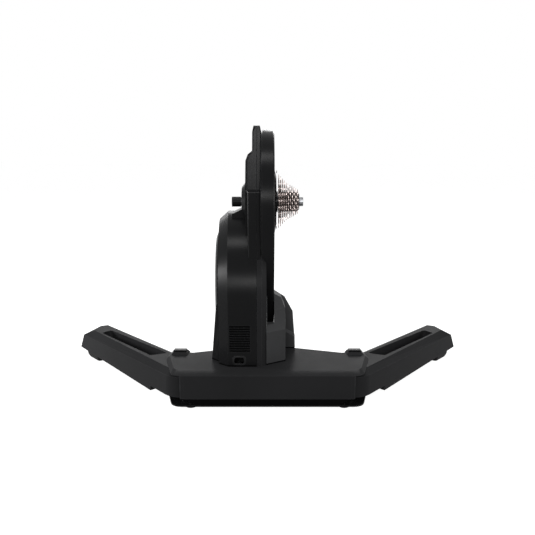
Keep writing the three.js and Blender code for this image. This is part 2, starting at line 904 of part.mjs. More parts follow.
function leftSpineFront(inset) {
  return shapeOf([
    [housing.seam, spine.root],
    [housing.seam, spineTop - inset],
    [spine.crownLeft + inset / 2, spineTop - inset],
    [spine.upperLeft + inset, spineTop - spine.crownBevel],
    [spine.upperLeft + inset, axleAxis.height + spine.stepTopAboveAxle],
    [spine.stepLeft + inset, axleAxis.height + spine.stepAboveAxle - inset],
    [spine.lowerLeft + inset, axleAxis.height + spine.stepBottomAboveAxle - inset],
    [spine.lowerLeft + inset, spine.root],
  ]);
}

const spineDepth = [axleAxis.forward - spine.kneeHalfDepth - overrun, axleAxis.forward + spine.kneeHalfDepth + overrun];

// The drum's left side leans outwards towards the front
const share = housing.flareShare;
const flare = new THREE.Matrix4().set(1, -share, 0, share * housing.rear, 0, 1, 0, 0, 0, 0, 1, 0, 0, 0, 0, 1);

// Left housing: drum with a bevelled left edge, a square rear below, the spine's left half and the axle boss
function drumForm(inset) {
  const left = housing.leftFace + inset;
  const shoulder = housing.spineLeft + inset / 2;
  const right = housing.seam + 3 * overrun;
  const drum = turnedX(
    [[0, left], [housing.bevelRadius - inset, left], [housing.drumRadius - inset, shoulder], [housing.drumRadius - inset, right], [0, right]],
    flywheelAxis,
    inset ? mediumSides : largeSides,
  );
  const rear = housing.rear + inset;
  const bevel = housing.drumRadius - housing.bevelRadius;
  const heel = plateZ(
    shapeOf([[right, rear], [right, flywheelAxis.forward], [left, flywheelAxis.forward], [left, rear + bevel], [shoulder, rear]]),
    standHeight - overrun,
    flywheelAxis.height,
  );
  const below = box([-base.sideHalfWidth, base.sideHalfWidth], [-overrun, base.tongueForward * 2], [-2 * overrun, standHeight - (inset > 0 ? overrun : 0)]);
  const inner = box([housing.seam - (inset > 0 ? -overrun : seatGap), 0], [0, base.tongueForward * 2], [0, spineTop]);
  return cut(moved(join(drum, heel), flare), below, inner);
}

function makeLeftHousing() {
  const spineLeft = plateX(spineSide(0), spine.lowerLeft, housing.seam - seatGap);
  const spineForm = spineLeft.intersect(plateY(leftSpineFront(0), ...spineDepth));
  const boss = turnedX(
    [[0, spine.lowerLeft + overrun], [axleBoss.rootRadius, spine.lowerLeft + overrun], [axleBoss.rootRadius, spine.lowerLeft], [axleBoss.faceRadius, axleBoss.face], [0, axleBoss.face]],
    axleAxis,
  );
  const drumTop = flywheelAxis.height + housing.drumRadius;
  const gusset = plateY(
    shapeOf([
      [spine.lowerLeft + overrun, drumTop - axleBoss.gussetRise],
      [axleBoss.gussetLeft, drumTop - axleBoss.gussetRise],
      [axleBoss.gussetLeft, drumTop - axleBoss.gussetFoot],
      [axleBoss.face, drumTop + axleBoss.gussetRise],
      [spine.lowerLeft + overrun, drumTop + axleBoss.gussetRise],
    ]),
    axleAxis.forward - axleBoss.gussetHalfDepth,
    axleAxis.forward + axleBoss.gussetHalfDepth,
  );
  const roomSide = plateX(spineSide(housing.wall), spine.lowerLeft, housing.seam + overrun);
  const room = roomSide.intersect(plateY(leftSpineFront(housing.wall), ...spineDepth));
  const openEnd = plateX(spineSide(housing.wall), housing.seam - overrun, housing.seam + overrun);
  const bossRoom = turnedX(rod(axleBoss.roomRadius, axleBoss.face + housing.wall, housing.seam), axleAxis, smallSides);
  const axleHole = turnedX(rod(axle.radius + seatGap, -base.sideHalfWidth, 0), axleAxis, smallSides);
  const capHole = moved(turnedX(rod(housing.capOpening, -base.sideHalfWidth, housing.spineLeft), flywheelAxis, largeSides), flare);
  const ventHole = box(
    [vent.left - seatGap, vent.right + seatGap],
    [0, housing.rear + housing.drumRadius - housing.capOpening],
    [vent.bottom - seatGap, vent.top + seatGap],
  );
  const inletHole = box(
    centred(inlet.centre, inlet.width - 2 * inlet.wall + 2 * seatGap),
    [0, housing.rear + housing.drumRadius - housing.capOpening],
    centred(inlet.height, inlet.tall - 2 * inlet.wall + 2 * seatGap),
  );
  return cut(join(spineForm, drumForm(0), boss, gusset), room, openEnd, drumForm(housing.wall), bossRoom, axleHole, capHole, ventHole, inletHole);
}

// Domed cap that closes the drum's left face
function makeFlywheelCap() {
  const seat = housing.leftFace - seatGap;
  const rim = seat - cap.rimDepth;
  const edge = rim - cap.bevelDepth;
  const spigot = housing.capOpening - seatGap;
  const inside = spigot - cap.spigotWall;
  const dome = (radius, start, steps) =>
    Array.from({ length: steps + 1 }, (unused, k) => {
      const left = 1 - k / steps;
      return [radius * left, start + (cap.dome - edge) * (1 - left * left)];
    });
  const profile = [
    ...dome(inside, edge + cap.wall, cap.insideSteps).reverse(),
    [inside, seat + cap.spigotDepth],
    [spigot, seat + cap.spigotDepth],
    [spigot, seat],
    [cap.radius, seat],
    [cap.radius, rim],
    ...dome(cap.bevelRadius, edge, cap.domeSteps),
  ];
  return moved(turnedX(profile, flywheelAxis, largeSides), flare);
}

// Vent grille: a thin plate of level slots, flush with the rear panel
function makeVentGrille() {
  const pitch = (vent.top - vent.bottom - 2 * vent.border) / vent.slots;
  const slots = Array.from({ length: vent.slots }, (unused, k) => {
    const bottom = vent.bottom + vent.border + pitch * (k + (1 - vent.slotShare) / 2);
    return rectangle([vent.left + vent.border, vent.right - vent.border], [bottom, bottom + pitch * vent.slotShare]);
  });
  const frameOutline = rectangle([vent.left, vent.right], [vent.bottom, vent.top]);
  return plateY(shapeOf(frameOutline, slots), housing.rear, housing.rear + vent.thickness);
}

// Mains inlet: a flange on the rear panel, a socket behind it and three blades
function makePowerInlet() {
  const flange = plateY(
    shapeOf(rectangle(centred(inlet.centre, inlet.width), centred(inlet.height, inlet.tall), inlet.rounding)),
    housing.rear - seatGap - inlet.flangeThickness,
    housing.rear - seatGap,
  );
  const bodyWidth = inlet.width - 2 * inlet.wall;
  const bodyTall = inlet.tall - 2 * inlet.wall;
  const body = box(centred(inlet.centre, bodyWidth), [housing.rear - seatGap, housing.rear + inlet.bodyDepth], centred(inlet.height, bodyTall));
  const mouth = plateY(
    shapeOf(rectangle(centred(inlet.centre, bodyWidth - 2 * inlet.wall), centred(inlet.height, bodyTall - 2 * inlet.wall), inlet.wall)),
    housing.rear - 2 * inlet.flangeThickness,
    housing.rear + inlet.socketDepth,
  );
  const back = housing.rear + inlet.socketDepth;
  const blade = (x, z) => box(centred(x, inlet.pinWidth), [back - inlet.pinLength, back + inlet.wall], centred(z, inlet.pinTall));
  const spread = bodyWidth / 4;
  return join(
    cut(join(flange, body), mouth),
    blade(inlet.centre - spread, inlet.height - inlet.pinWidth),
    blade(inlet.centre + spread, inlet.height - inlet.pinWidth),
    blade(inlet.centre, inlet.height + inlet.pinWidth),
  );
}

// Frame: one casting with the spine plate, a ribbed dish round the flywheel, and the bosses of both axes
function makeFrame() {
  const left = housing.seam + seatGap;
  const frontOutline = shapeOf([
    [left, spine.root],
    [spine.right, spine.root],
    [spine.right, spineTop - spine.crownBevel],
    [spine.crownRight, spineTop],
    [left, spineTop],
  ]);
  const plate = plateX(spineSide(0), left, spine.right).intersect(plateY(frontOutline, ...spineDepth));
  const drum = turnedX(
    [[0, left], [housing.drumRadius, left], [housing.drumRadius, frame.bevelFrom], [frame.bevelRadius, frame.right], [0, frame.right]],
    flywheelAxis,
    largeSides,
  );
  const bevel = housing.drumRadius - frame.bevelRadius;
  const heel = plateZ(
    shapeOf([
      [left, housing.rear],
      [frame.bevelFrom, housing.rear],
      [frame.right, housing.rear + bevel],
      [frame.right, flywheelAxis.forward],
      [left, flywheelAxis.forward],
    ]),
    standHeight,
    flywheelAxis.height,
  );
  const dishRadius = housing.drumRadius - frame.rim;
  const leftDish = turnedX(rod(dishRadius, left - overrun, frame.webLeft), flywheelAxis);
  const spineGuard = box([left - overrun, 0], [0, base.tongueForward * 2], [flywheelAxis.height + housing.drumRadius - overrun, spineTop]);
  const beltRoom = lofted([coverRing(coverRoomInset, frame.webRight), coverRing(coverRoomInset, overrun)]);
  const backInset = coverRoomInset + seatGap;
  const backLeft = spine.right - frame.backOverlap;
  const backPlate = lofted([coverRing(backInset, backLeft), coverRing(backInset, backLeft + frame.backThickness)]);
  const shoulderRoom = turnedX(rod(axle.shoulderRadius + seatGap, spine.right, overrun), axleAxis, smallSides);
  const below = box([-base.sideHalfWidth, base.sideHalfWidth], [-overrun, base.tongueForward * 2], [-overrun, standHeight]);
  const shaftBoss = turnedX(rod(frame.shaftBossRadius, frame.shaftBossLeft, frame.webRight + seatGap), flywheelAxis);
  const hubBoss = turnedX(rod(frame.axleBossRadius, frame.axleBossLeft, spine.right), axleAxis);
  const rib = box(
    [frame.ribLeft, frame.webLeft + seatGap],
    centred(axleAxis.forward, frame.ribThickness),
    [flywheelAxis.height + frame.shaftBossRadius / 2, axleAxis.height],
  );
  const foot = box([frame.footLeft, frame.webLeft + seatGap], [frame.footRear, frame.footFront], [standHeight, standHeight + frame.footHeight]);
  return cut(
    join(
      cut(join(plate, drum, heel), cut(leftDish, spineGuard), beltRoom, below),
      cut(backPlate, leftDish, shoulderRoom),
      shaftBoss,
      hubBoss,
      rib,
      foot,
      ...makeStandoffs(),
    ),
    turnedX(rod(shaftBearing.outerRadius + seatGap, frame.shaftBossLeft - overrun, overrun), flywheelAxis),
    turnedX(rod(axle.radius + seatGap, frame.axleBossLeft - overrun, overrun), axleAxis),
  );
}

function boardCorners() {
  const [rear, front] = [board.rear + board.standoffInset, board.front - board.standoffInset];
  const [bottom, top] = [board.bottom + board.standoffInset, board.top - board.standoffInset];
  return [[rear, bottom], [front, bottom], [front, top], [rear, top]];
}

function makeStandoffs() {
  return boardCorners().map(([forward, height]) =>
    turnedX(rod(board.standoffRadius, board.left + board.thickness + seatGap, frame.webLeft + seatGap), { forward, height }, plainSides),
  );
}

// Belt cover: a case that follows both wheels of the belt drive, with a small draft and a bevelled edge
function coverRing(inset, x) {
  return facing(roundBothAxes(pulleyRadius + cover.beltRoom - inset, cover.flywheelRadius - inset), x);
}

const coverRoomInset = cover.lipInset + cover.wall;

function makeBeltCover() {
  const outer = lofted([
    coverRing(0, cover.left),
    coverRing(cover.draft, cover.right - cover.edge),
    coverRing(cover.draft + cover.edge, cover.right),
  ]);
  const lip = lofted([coverRing(cover.lipInset, spine.right + seatGap), coverRing(cover.lipInset, cover.left + overrun)]);
  const room = lofted([
    coverRing(coverRoomInset, spine.right - overrun),
    coverRing(coverRoomInset, cover.right - cover.wall),
  ]);
  const drum = turnedX(
    [
      [0, -base.sideHalfWidth],
      [housing.drumRadius + seatGap, -base.sideHalfWidth],
      [housing.drumRadius + seatGap, frame.bevelFrom + seatGap],
      [frame.bevelRadius + seatGap, frame.right + seatGap],
      [0, frame.right + seatGap],
    ],
    flywheelAxis,
    largeSides,
  );
  const hubHole = turnedX(rod(cover.hubHole, 0, cover.right + overrun), axleAxis);
  return cut(join(outer, lip), room, drum, hubHole);
}

function makeHubRing() {
  const left = cover.right + seatGap;
  const bore = pulley.hubRadius + runningGap + seatGap;
  return turnedX(
    [[bore, left], [hubRing.rootRadius, left], [hubRing.faceRadius, hubRing.right], [bore, hubRing.right], [bore, left]],
    axleAxis,
    largeSides,
  );
}

// Left fairing: a buttress between the drum and the base, cut round the domed cap
function makeLeftFairing() {
  const wallFace = housing.leftFace + overrun;
  const form = lofted([
    level([[wallFace, fairing.rear], [wallFace, fairing.heel], [fairing.left, fairing.front], [fairing.left, fairing.corner]], standHeight),
    level(
      [[wallFace, fairing.topRear], [wallFace, fairing.topHeel], [fairing.topLeft, fairing.topFront], [fairing.topLeft, fairing.topCorner]],
      fairing.top,
    ),
  ]);
  const capRoom = turnedX(rod(cap.radius + seatGap, -base.sideHalfWidth, 0), flywheelAxis, largeSides);
  return cut(form, moved(capRoom, flare), drumForm(-seatGap));
}

// Right fairing: a faceted pod between the belt cover and the base
function makeRightFairing() {
  const wallFace = frame.right + seatGap;
  const form = lofted([
    level(
      [[wallFace, pod.rear], [pod.cornerRight, pod.cornerRear], [pod.right, pod.rightRear], [pod.frontRight, pod.front], [wallFace, pod.heel]],
      standHeight,
    ),
    [
      [wallFace, pod.rear, pod.ridgeHeight],
      [pod.cornerRight, pod.ridgeRear, pod.ridgeHeight],
      [pod.shoulderRight, pod.shoulderRear, pod.shoulderHeight],
      [pod.flankRight, pod.front, pod.flankHeight],
      [wallFace, pod.heel, pod.flankHeight],
    ],
    [
      [wallFace, pod.topRear, pod.topHeight],
      [pod.topRight, pod.topRightRear, pod.topRightHeight],
      [(pod.topRight + pod.flankRight) / 2, pod.front - base.wall, (pod.topRightHeight + pod.flankHeight) / 2],
      [(pod.topRight + pod.flankRight) / 2, pod.front, (pod.topRightHeight + pod.flankHeight) / 2],
      [wallFace, pod.heel - base.wall, pod.topHeight],
    ],
  ]);
  const coverRoom = lofted([
    coverRing(-seatGap, cover.left - overrun),
    coverRing(-seatGap, cover.right + seatGap),
  ]);
  return cut(form, coverRoom);
}

// Axle: a fixed tube through the frame, a nut on its left and a cap at each end for the bike's dropouts
function makeAxleTube() {
  const shoulderLeft = spine.right + seatGap;
  const shoulderRight = bearing.leftFrom - seatGap;
  return turnedX(
    [
      [axle.bore, axle.leftEnd],
      [axle.radius, axle.leftEnd],
      [axle.radius, shoulderLeft],
      [axle.shoulderRadius, shoulderLeft],
      [axle.shoulderRadius, shoulderRight],
      [axle.radius, shoulderRight],
      [axle.radius, axle.stepAt],
      [axle.outerRadius, axle.stepAt],
      [axle.outerRadius, axle.rightEnd],
      [axle.bore, axle.rightEnd],
      [axle.bore, axle.leftEnd],
    ],
    axleAxis,
    smallSides,
  );
}

function makeAxleNut() {
  const right = frame.axleBossLeft - seatGap;
  const hexagon = disc(axle.nutRadius, axleAxis.forward, axleAxis.height, 6);
  const hole = disc(axle.radius + seatGap, axleAxis.forward, axleAxis.height);
  return plateX(shapeOf(hexagon, [hole]), right - axle.nutThickness, right);
}

function makeLeftEndCap() {
  const [outer, inner] = [-axle.dropoutHalfSpacing, -axle.dropoutHalfSpacing + axle.leftCapLength];
  const seat = axle.leftEnd - seatGap;
  return turnedX(
    [
      [axle.bore, outer],
      [axle.leftCapRadius, outer],
      [axle.leftCapRadius, inner],
      [axle.radius + seatGap, inner],
      [axle.radius + seatGap, seat],
      [axle.bore, seat],
      [axle.bore, outer],
    ],
    axleAxis,
    axle.capFlats,
  );
}

function makeRightEndCap() {
  const [inner, outer] = [axle.dropoutHalfSpacing - axle.rightCapLength, axle.dropoutHalfSpacing];
  const seat = axle.rightEnd + seatGap;
  return turnedX(
    [
      [axle.outerRadius + seatGap, inner],
      [axle.rightCapRadius, inner],
      [axle.rightCapRadius, outer],
      [axle.bore, outer],
      [axle.bore, seat],
      [axle.outerRadius + seatGap, seat],
      [axle.outerRadius + seatGap, inner],
    ],
    axleAxis,
    smallSides,
  );
}

// Drive: bearings on the axle, the large pulley with its windows, the belt and the small pulley
function makeHubBearing(from) {
  return turnedX(ring(axle.radius + seatGap, bearing.outerRadius, from, from + bearing.width), axleAxis, smallSides);
}

function makeDrivePulley() {
  const rimInner = pulleyRadius - pulley.rim;
  const hubBore = bearing.outerRadius + runningGap;
  const wheel = turnedX(
    [
      [hubBore, pulley.hubLeft],
      [pulley.hubRadius, pulley.hubLeft],
      [pulley.hubRadius, pulley.webLeft],
      [rimInner, pulley.webLeft],
      [rimInner, pulley.left],
      [pulleyRadius, pulley.left],
      [pulleyRadius, pulley.right],
      [rimInner, pulley.right],
      [rimInner, pulley.webRight],
      [pulley.hubRadius, pulley.webRight],
      [pulley.hubRadius, pulley.hubRight],
      [hubBore, pulley.hubRight],
      [hubBore, pulley.hubLeft],
    ],
    axleAxis,
    wheelSides,
  );
  const windowPlace = (rimInner + pulley.hubRadius) / 2;
  const windowRadius = ((rimInner - pulley.hubRadius) / 2) * pulley.windowShare;
  const windows = Array.from({ length: pulley.windows }, (unused, k) => {
    const angle = (2 * Math.PI * k) / pulley.windows;
    const place = {
      forward: axleAxis.forward + windowPlace * Math.cos(angle),
      height: axleAxis.height + windowPlace * Math.sin(angle),
    };
    return turnedX(rod(windowRadius, pulley.left, pulley.right), place, plainSides);
  });
  return cut(wheel, ...windows);
}

function makeDriveBelt() {
  const gap = 2 * runningGap;
  const inner = roundBothAxes(pulleyRadius + gap, smallPulleyRadius + gap);
  const outer = roundBothAxes(pulleyRadius + gap + belt.thickness, smallPulleyRadius + gap + belt.thickness);
  return plateX(shapeOf(outer, [inner]), belt.left, belt.right);
}

function makeSmallPulley() {
  return turnedX(ring(flywheel.shaftRadius + seatGap, smallPulleyRadius, pulley.left, pulley.right), flywheelAxis);
}

function makeShaftBearing(from) {
  const bore = flywheel.shaftRadius + runningGap;
  return turnedX(ring(bore, shaftBearing.outerRadius, from, from + shaftBearing.width), flywheelAxis, smallSides);
}

// Flywheel: a heavy rim on a thin web, and the shaft that carries it
function makeFlywheel() {
  const bore = flywheel.shaftRadius + seatGap;
  return turnedX(
    [
      [bore, flywheel.webLeft - overrun],
      [flywheel.hubRadius, flywheel.webLeft - overrun],
      [flywheel.hubRadius, flywheel.webLeft],
      [flywheel.rimInner, flywheel.webLeft],
      [flywheel.rimInner, flywheel.left],
      [flywheel.radius, flywheel.left],
      [flywheel.radius, flywheel.right],
      [flywheel.rimInner, flywheel.right],
      [flywheel.rimInner, flywheel.webRight],
      [flywheel.hubRadius, flywheel.webRight],
      [flywheel.hubRadius, flywheel.right],
      [bore, flywheel.right],
      [bore, flywheel.webLeft - overrun],
    ],
    flywheelAxis,
    wheelSides,
  );
}

function makeFlywheelShaft() {
  const collarRight = shaftBearing.leftFrom - seatGap;
  const collarLeft = flywheel.right + seatGap;
  return turnedX(
    [
      [0, flywheel.shaftLeft],
      [flywheel.shaftRadius, flywheel.shaftLeft],
      [flywheel.shaftRadius, collarLeft],
      [flywheel.collarRadius, collarLeft],
      [flywheel.collarRadius, collarRight],
      [flywheel.shaftRadius, collarRight],
      [flywheel.shaftRadius, flywheel.shaftRight],
      [0, flywheel.shaftRight],
    ],
    flywheelAxis,
    smallSides,
  );
}

// Brake: a carrier plate on the frame with round pole pieces that face the flywheel
function makeBrakeUnit() {
  const to = THREE.MathUtils.degToRad(brake.halfAngle);
  const from = -to;
  const arc = (radius) =>
    Array.from({ length: smallSides + 1 }, (unused, k) => {
      const angle = from + ((to - from) * k) / smallSides;
      return [flywheelAxis.forward + radius * Math.cos(angle), flywheelAxis.height + radius * Math.sin(angle)];
    });
  const right = frame.webLeft - seatGap;
  const left = right - brake.plateThickness;
  const plate = plateX(shapeOf([...arc(brake.outerRadius), ...arc(brake.innerRadius).reverse()]), left, right);
  const middle = (brake.innerRadius + brake.outerRadius) / 2;
  const poles = Array.from({ length: brake.poles }, (unused, k) => {
    const angle = from + ((to - from) * (k + 1 / 2)) / brake.poles;
    const place = {
      forward: flywheelAxis.forward + middle * Math.cos(angle),
      height: flywheelAxis.height + middle * Math.sin(angle),
    };
    return turnedX(rod(brake.poleRadius, flywheel.right + brake.poleGap, right), place, plainSides);
  });
  return join(plate, ...poles);
}

function makeControlBoard() {
  const right = board.left + board.thickness;
  const middle = [(board.rear + board.front) / 2, (board.bottom + board.top) / 2];
  const sheet = box([board.left, right], [board.rear, board.front], [board.bottom, board.top]);
  const chip = box([board.left - board.chipHeight, board.left + board.thickness / 2], centred(middle[0], board.chip), centred(middle[1], board.chip));
  return join(sheet, chip);
}

// Cassette: cogs with their teeth, a carrier for the largest, the splined body and the lockring
function splinePoints(radius, groove) {
  const step = (2 * Math.PI) / freehub.splines;
  return Array.from({ length: freehub.splines }, (unused, k) => k).flatMap((k) =>
    [[0.05, radius - groove], [0.2, radius - groove], [0.25, radius], [0.95, radius]].map(([share, r]) => [
      r * Math.cos(step * (k + share)),
      r * Math.sin(step * (k + share)),
    ]),
  );
}

function atAxle(points) {
  return points.map(([y, z]) => [y + axleAxis.forward, z + axleAxis.height]);
}

function cogOutline(teeth) {
  const tip = (cassette.chainPitch / 2) * (0.6 + 1 / Math.tan(Math.PI / teeth));
  const root = cassette.chainPitch / (2 * Math.sin(Math.PI / teeth)) - cassette.rollerRadius;
  return Array.from({ length: teeth }, (unused, k) => k).flatMap((k) =>
    toothShares.map(([along, height]) => {
      const radius = root + (tip - root) * height;
      const angle = (2 * Math.PI * (k + along)) / teeth;
      return [radius * Math.cos(angle), radius * Math.sin(angle)];
    }),
  );
}

function windowOutline(k, inner, outer) {
  const step = (2 * Math.PI) / cassette.windows;
  const half = (step * windowAngleShare) / 2;
  const corner = (radius, angle) => [radius * Math.cos(angle), radius * Math.sin(angle)];
  const middle = step * k;
  return [
    corner(inner, middle - half),
    corner(outer, middle - half),
    corner(outer / Math.cos(half), middle),
    corner(outer, middle + half),
    corner(inner, middle + half),
    corner(inner / Math.cos(half), middle),
  ];
}

const cogBore = (freehub.radius + seatGap) / Math.cos(Math.PI / plainSides);

function makeCog(order) {
  const teeth = cassette.teeth[order];
  const centre = cassette.firstCentre + order * cassette.pitch;
  const [left, right] = centred(centre, cassette.thickness);
  const root = cassette.chainPitch / (2 * Math.sin(Math.PI / teeth)) - cassette.rollerRadius;
  const boreOutline = disc(cogBore, 0, 0, plainSides);
  const holes = [boreOutline];
  const windowOuter = root - cassette.windowRim;
  if (order < cassette.windowedCogs) {
    for (let k = 0; k < cassette.windows; k += 1) {
      holes.push(windowOutline(k, cassette.windowInner, windowOuter));
    }
  }
  const plate = plateX(shapeOf(atAxle(cogOutline(teeth)), holes.map(atAxle)), left, right);
  if (order < 2) return plate;
  const previous = centred(centre - cassette.pitch, cassette.thickness)[1];
  const collar = shapeOf(atAxle(disc(cassette.collarRadius, 0, 0, plainSides)), [atAxle(boreOutline)]);
  return join(plate, plateX(collar, previous + seatGap, left + seatGap));
}

function makeCarrier() {
  const gapFrom = centred(cassette.firstCentre, cassette.thickness)[1] + seatGap;
  const arms = Array.from({ length: cassette.windows }, (unused, k) => {
    const step = (2 * Math.PI) / cassette.windows;
    const middle = step * (k + 1 / 2);
    const half = (step * armAngleShare) / 2;
    const corner = (radius, angle) => [radius * Math.cos(angle), radius * Math.sin(angle)];
    return [
      corner(cassette.carrierRing, middle - 2 * half),
      corner(cassette.carrierArmRadius, middle - half),
      corner(cassette.carrierArmRadius, middle + half),
      corner(cassette.carrierRing, middle + 2 * half),
    ];
  });
  return plateX(shapeOf(atAxle(arms.flat()), [atAxle(disc(cogBore, 0, 0, plainSides))]), gapFrom, gapFrom + cassette.carrierThickness);
}

function makeFreehub() {
  const bore = atAxle(disc(freehub.bore, 0, 0));
  return plateX(shapeOf(atAxle(splinePoints(freehub.radius, freehub.groove)), [bore]), freehub.left, freehub.right);
}

function makeFreehubBearing() {
  const right = freehub.bearingFrom + freehub.bearingWidth;
  return turnedX(ring(axle.outerRadius + seatGap, freehub.bore - runningGap, freehub.bearingFrom, right), axleAxis, smallSides);
}

function makeLockring() {
  const last = cassette.firstCentre + (cassette.teeth.length - 1) * cassette.pitch;
  const left = centred(last, cassette.thickness)[1] + seatGap;
  const spigot = freehub.bore - seatGap;
  return turnedX(
    [
      [spigot - lockring.spigotWall, left - lockring.spigotDepth],
      [spigot, left - lockring.spigotDepth],
      [spigot, left],
      [lockring.radius, left],
      [lockring.radius, left + lockring.width],
      [spigot - lockring.spigotWall, left + lockring.width],
      [spigot - lockring.spigotWall, left - lockring.spigotDepth],
    ],
    axleAxis,
    smallSides,
  );
}

// The whole trainer, centred on the floor under its box
const parts = new THREE.Group();
parts.add(piece("base_shell", makeBaseShell(), blackPaint));
parts.add(piece("base_plate", makeBasePlate(), darkPlastic));
parts.add(piece("rear_left_foot", makeBaseFoot(-baseFoot.halfSpan, baseFoot.rearForward), rubberBlack));
parts.add(piece("rear_right_foot", makeBaseFoot(baseFoot.halfSpan, baseFoot.rearForward), rubberBlack));
parts.add(piece("front_left_foot", makeBaseFoot(-baseFoot.frontLeft, baseFoot.frontForward), rubberBlack));
parts.add(piece("front_right_foot", makeBaseFoot(baseFoot.frontRight, baseFoot.frontForward), rubberBlack));
parts.add(makeLegSide("left"));
parts.add(makeLegSide("right"));
parts.add(piece("frame", makeFrame(), blackPaint));
parts.add(piece("left_housing", makeLeftHousing(), blackPlastic));
parts.add(piece("flywheel_cap", makeFlywheelCap(), darkPlastic));
parts.add(piece("vent_grille", makeVentGrille(), darkPlastic));
parts.add(piece("power_inlet", makePowerInlet(), darkPlastic));
parts.add(piece("belt_cover", makeBeltCover(), blackPlastic));
parts.add(piece("hub_ring", makeHubRing(), darkPlastic));
parts.add(piece("left_fairing", makeLeftFairing(), blackPlastic));
parts.add(piece("right_fairing", makeRightFairing(), blackPlastic));
parts.add(piece("axle_tube", makeAxleTube(), barSteel));
parts.add(piece("axle_nut", makeAxleNut(), barSteel));
parts.add(piece("left_end_cap", makeLeftEndCap(), darkAluminium));
parts.add(piece("right_end_cap", makeRightEndCap(), greyAluminium));
parts.add(piece("left_hub_bearing", makeHubBearing(bearing.leftFrom), barSteel));
parts.add(piece("right_hub_bearing", makeHubBearing(bearing.rightFrom), barSteel));
parts.add(piece("drive_pulley", makeDrivePulley(), darkAluminium));
parts.add(piece("drive_belt", makeDriveBelt(), rubberBlack));
parts.add(piece("small_pulley", makeSmallPulley(), darkAluminium));
parts.add(piece("left_shaft_bearing", makeShaftBearing(shaftBearing.leftFrom), barSteel));
parts.add(piece("right_shaft_bearing", makeShaftBearing(shaftBearing.rightFrom), barSteel));
parts.add(piece("flywheel", makeFlywheel(), barSteel));
parts.add(piece("flywheel_shaft", makeFlywheelShaft(), barSteel));
parts.add(piece("brake_unit", makeBrakeUnit(), barSteel));
parts.add(piece("control_board", makeControlBoard(), boardGreen));
parts.add(piece("freehub_body", makeFreehub(), darkAluminium));
parts.add(piece("freehub_bearing", makeFreehubBearing(), barSteel));
parts.add(piece("cassette_carrier", makeCarrier(), darkAluminium));
cassette.teeth.forEach((teeth, order) => parts.add(piece(`cog_${teeth}t`, makeCog(order), cogSteel)));
parts.add(piece("cassette_lockring", makeLockring(), darkAluminium));

parts.updateMatrixWorld(true);
const reach = new THREE.Box3().setFromObject(parts, true);
parts.position.set(0, -(reach.min.y + reach.max.y) / 2, 0);

const trainer = new THREE.Group();
trainer.add(parts);

export default trainer;
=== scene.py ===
import json
import math

import bmesh
import bpy
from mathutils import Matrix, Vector
from mathutils.geometry import tessellate_polygon

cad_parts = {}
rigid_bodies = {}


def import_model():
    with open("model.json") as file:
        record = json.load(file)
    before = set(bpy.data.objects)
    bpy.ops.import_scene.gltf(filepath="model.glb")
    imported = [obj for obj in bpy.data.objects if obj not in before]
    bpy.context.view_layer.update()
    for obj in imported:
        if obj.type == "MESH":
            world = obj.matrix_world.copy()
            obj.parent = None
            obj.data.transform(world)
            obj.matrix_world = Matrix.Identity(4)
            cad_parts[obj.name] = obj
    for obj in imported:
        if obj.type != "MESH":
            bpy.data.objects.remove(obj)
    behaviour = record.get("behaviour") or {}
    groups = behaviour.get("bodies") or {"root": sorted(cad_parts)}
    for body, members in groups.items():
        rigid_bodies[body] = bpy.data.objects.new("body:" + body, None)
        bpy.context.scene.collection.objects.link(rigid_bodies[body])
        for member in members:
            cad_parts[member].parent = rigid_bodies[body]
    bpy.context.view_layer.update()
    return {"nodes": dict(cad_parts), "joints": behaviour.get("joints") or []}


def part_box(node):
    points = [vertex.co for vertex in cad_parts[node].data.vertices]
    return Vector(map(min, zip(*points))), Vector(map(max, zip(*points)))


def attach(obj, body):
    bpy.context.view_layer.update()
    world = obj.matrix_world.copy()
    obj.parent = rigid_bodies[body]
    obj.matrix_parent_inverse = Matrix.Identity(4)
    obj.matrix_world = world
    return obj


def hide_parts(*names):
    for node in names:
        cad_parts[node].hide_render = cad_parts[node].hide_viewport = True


# Direct drive bike trainer, seen from behind. The drive side is at +X, the bicycle points along +Y and the
# floor is z = 0. Pieces are in millimetres; looks, camera, lamps and studio are in metres; angles in degrees.
for leftover in list(bpy.data.objects):
    bpy.data.objects.remove(leftover)

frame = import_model()
nodes = frame["nodes"]
mm = 0.001
rearFace = -181.65  # the base's rear face along Y
print("frame loaded:", len(nodes), "solids")


# Node helpers

def feed(tree, socket, value):
    # a socket takes a link from another socket, or a plain value
    if isinstance(value, bpy.types.NodeSocket):
        tree.links.new(value, socket)
    else:
        socket.default_value = value


def put(tree, kind, settings=None, **inputs):
    node = tree.nodes.new(kind)
    for key, value in (settings or {}).items():
        setattr(node, key, value)
    for key, value in inputs.items():
        feed(tree, node.inputs[key.replace("_", " ")], value)
    return node


def maths(tree, operation, first, second):
    node = put(tree, "ShaderNodeMath", {"operation": operation})
    for socket, value in zip(node.inputs, (first, second)):
        feed(tree, socket, value)
    return node.outputs[0]


def spread(tree, value, lowest, highest, fromLow=0.3, fromHigh=0.7):
    # a noise seldom leaves 0.3 to 0.7, so that range is what is spread out
    node = put(tree, "ShaderNodeMapRange", Value=value)
    limits = {"From Min": fromLow, "From Max": fromHigh, "To Min": lowest, "To Max": highest}
    for name, amount in limits.items():
        feed(tree, node.inputs[name], amount)
    return node.outputs[0]


def noise(tree, point, scale, detail=3.0, roughness=0.55):
    node = put(tree, "ShaderNodeTexNoise", Vector=point, Scale=scale, Detail=detail, Roughness=roughness)
    return node.outputs["Fac"]


def opaque(colour):
    return (*colour, 1)


def brighter(colour, factor):
    return tuple(min(1.0, part * factor) for part in colour)


def tinted(tree, amount, dark, light):
    ramp = put(tree, "ShaderNodeValToRGB", Fac=amount)
    ramp.color_ramp.elements[0].color = opaque(dark)
    ramp.color_ramp.elements[1].color = opaque(light)
    return ramp.outputs["Color"]


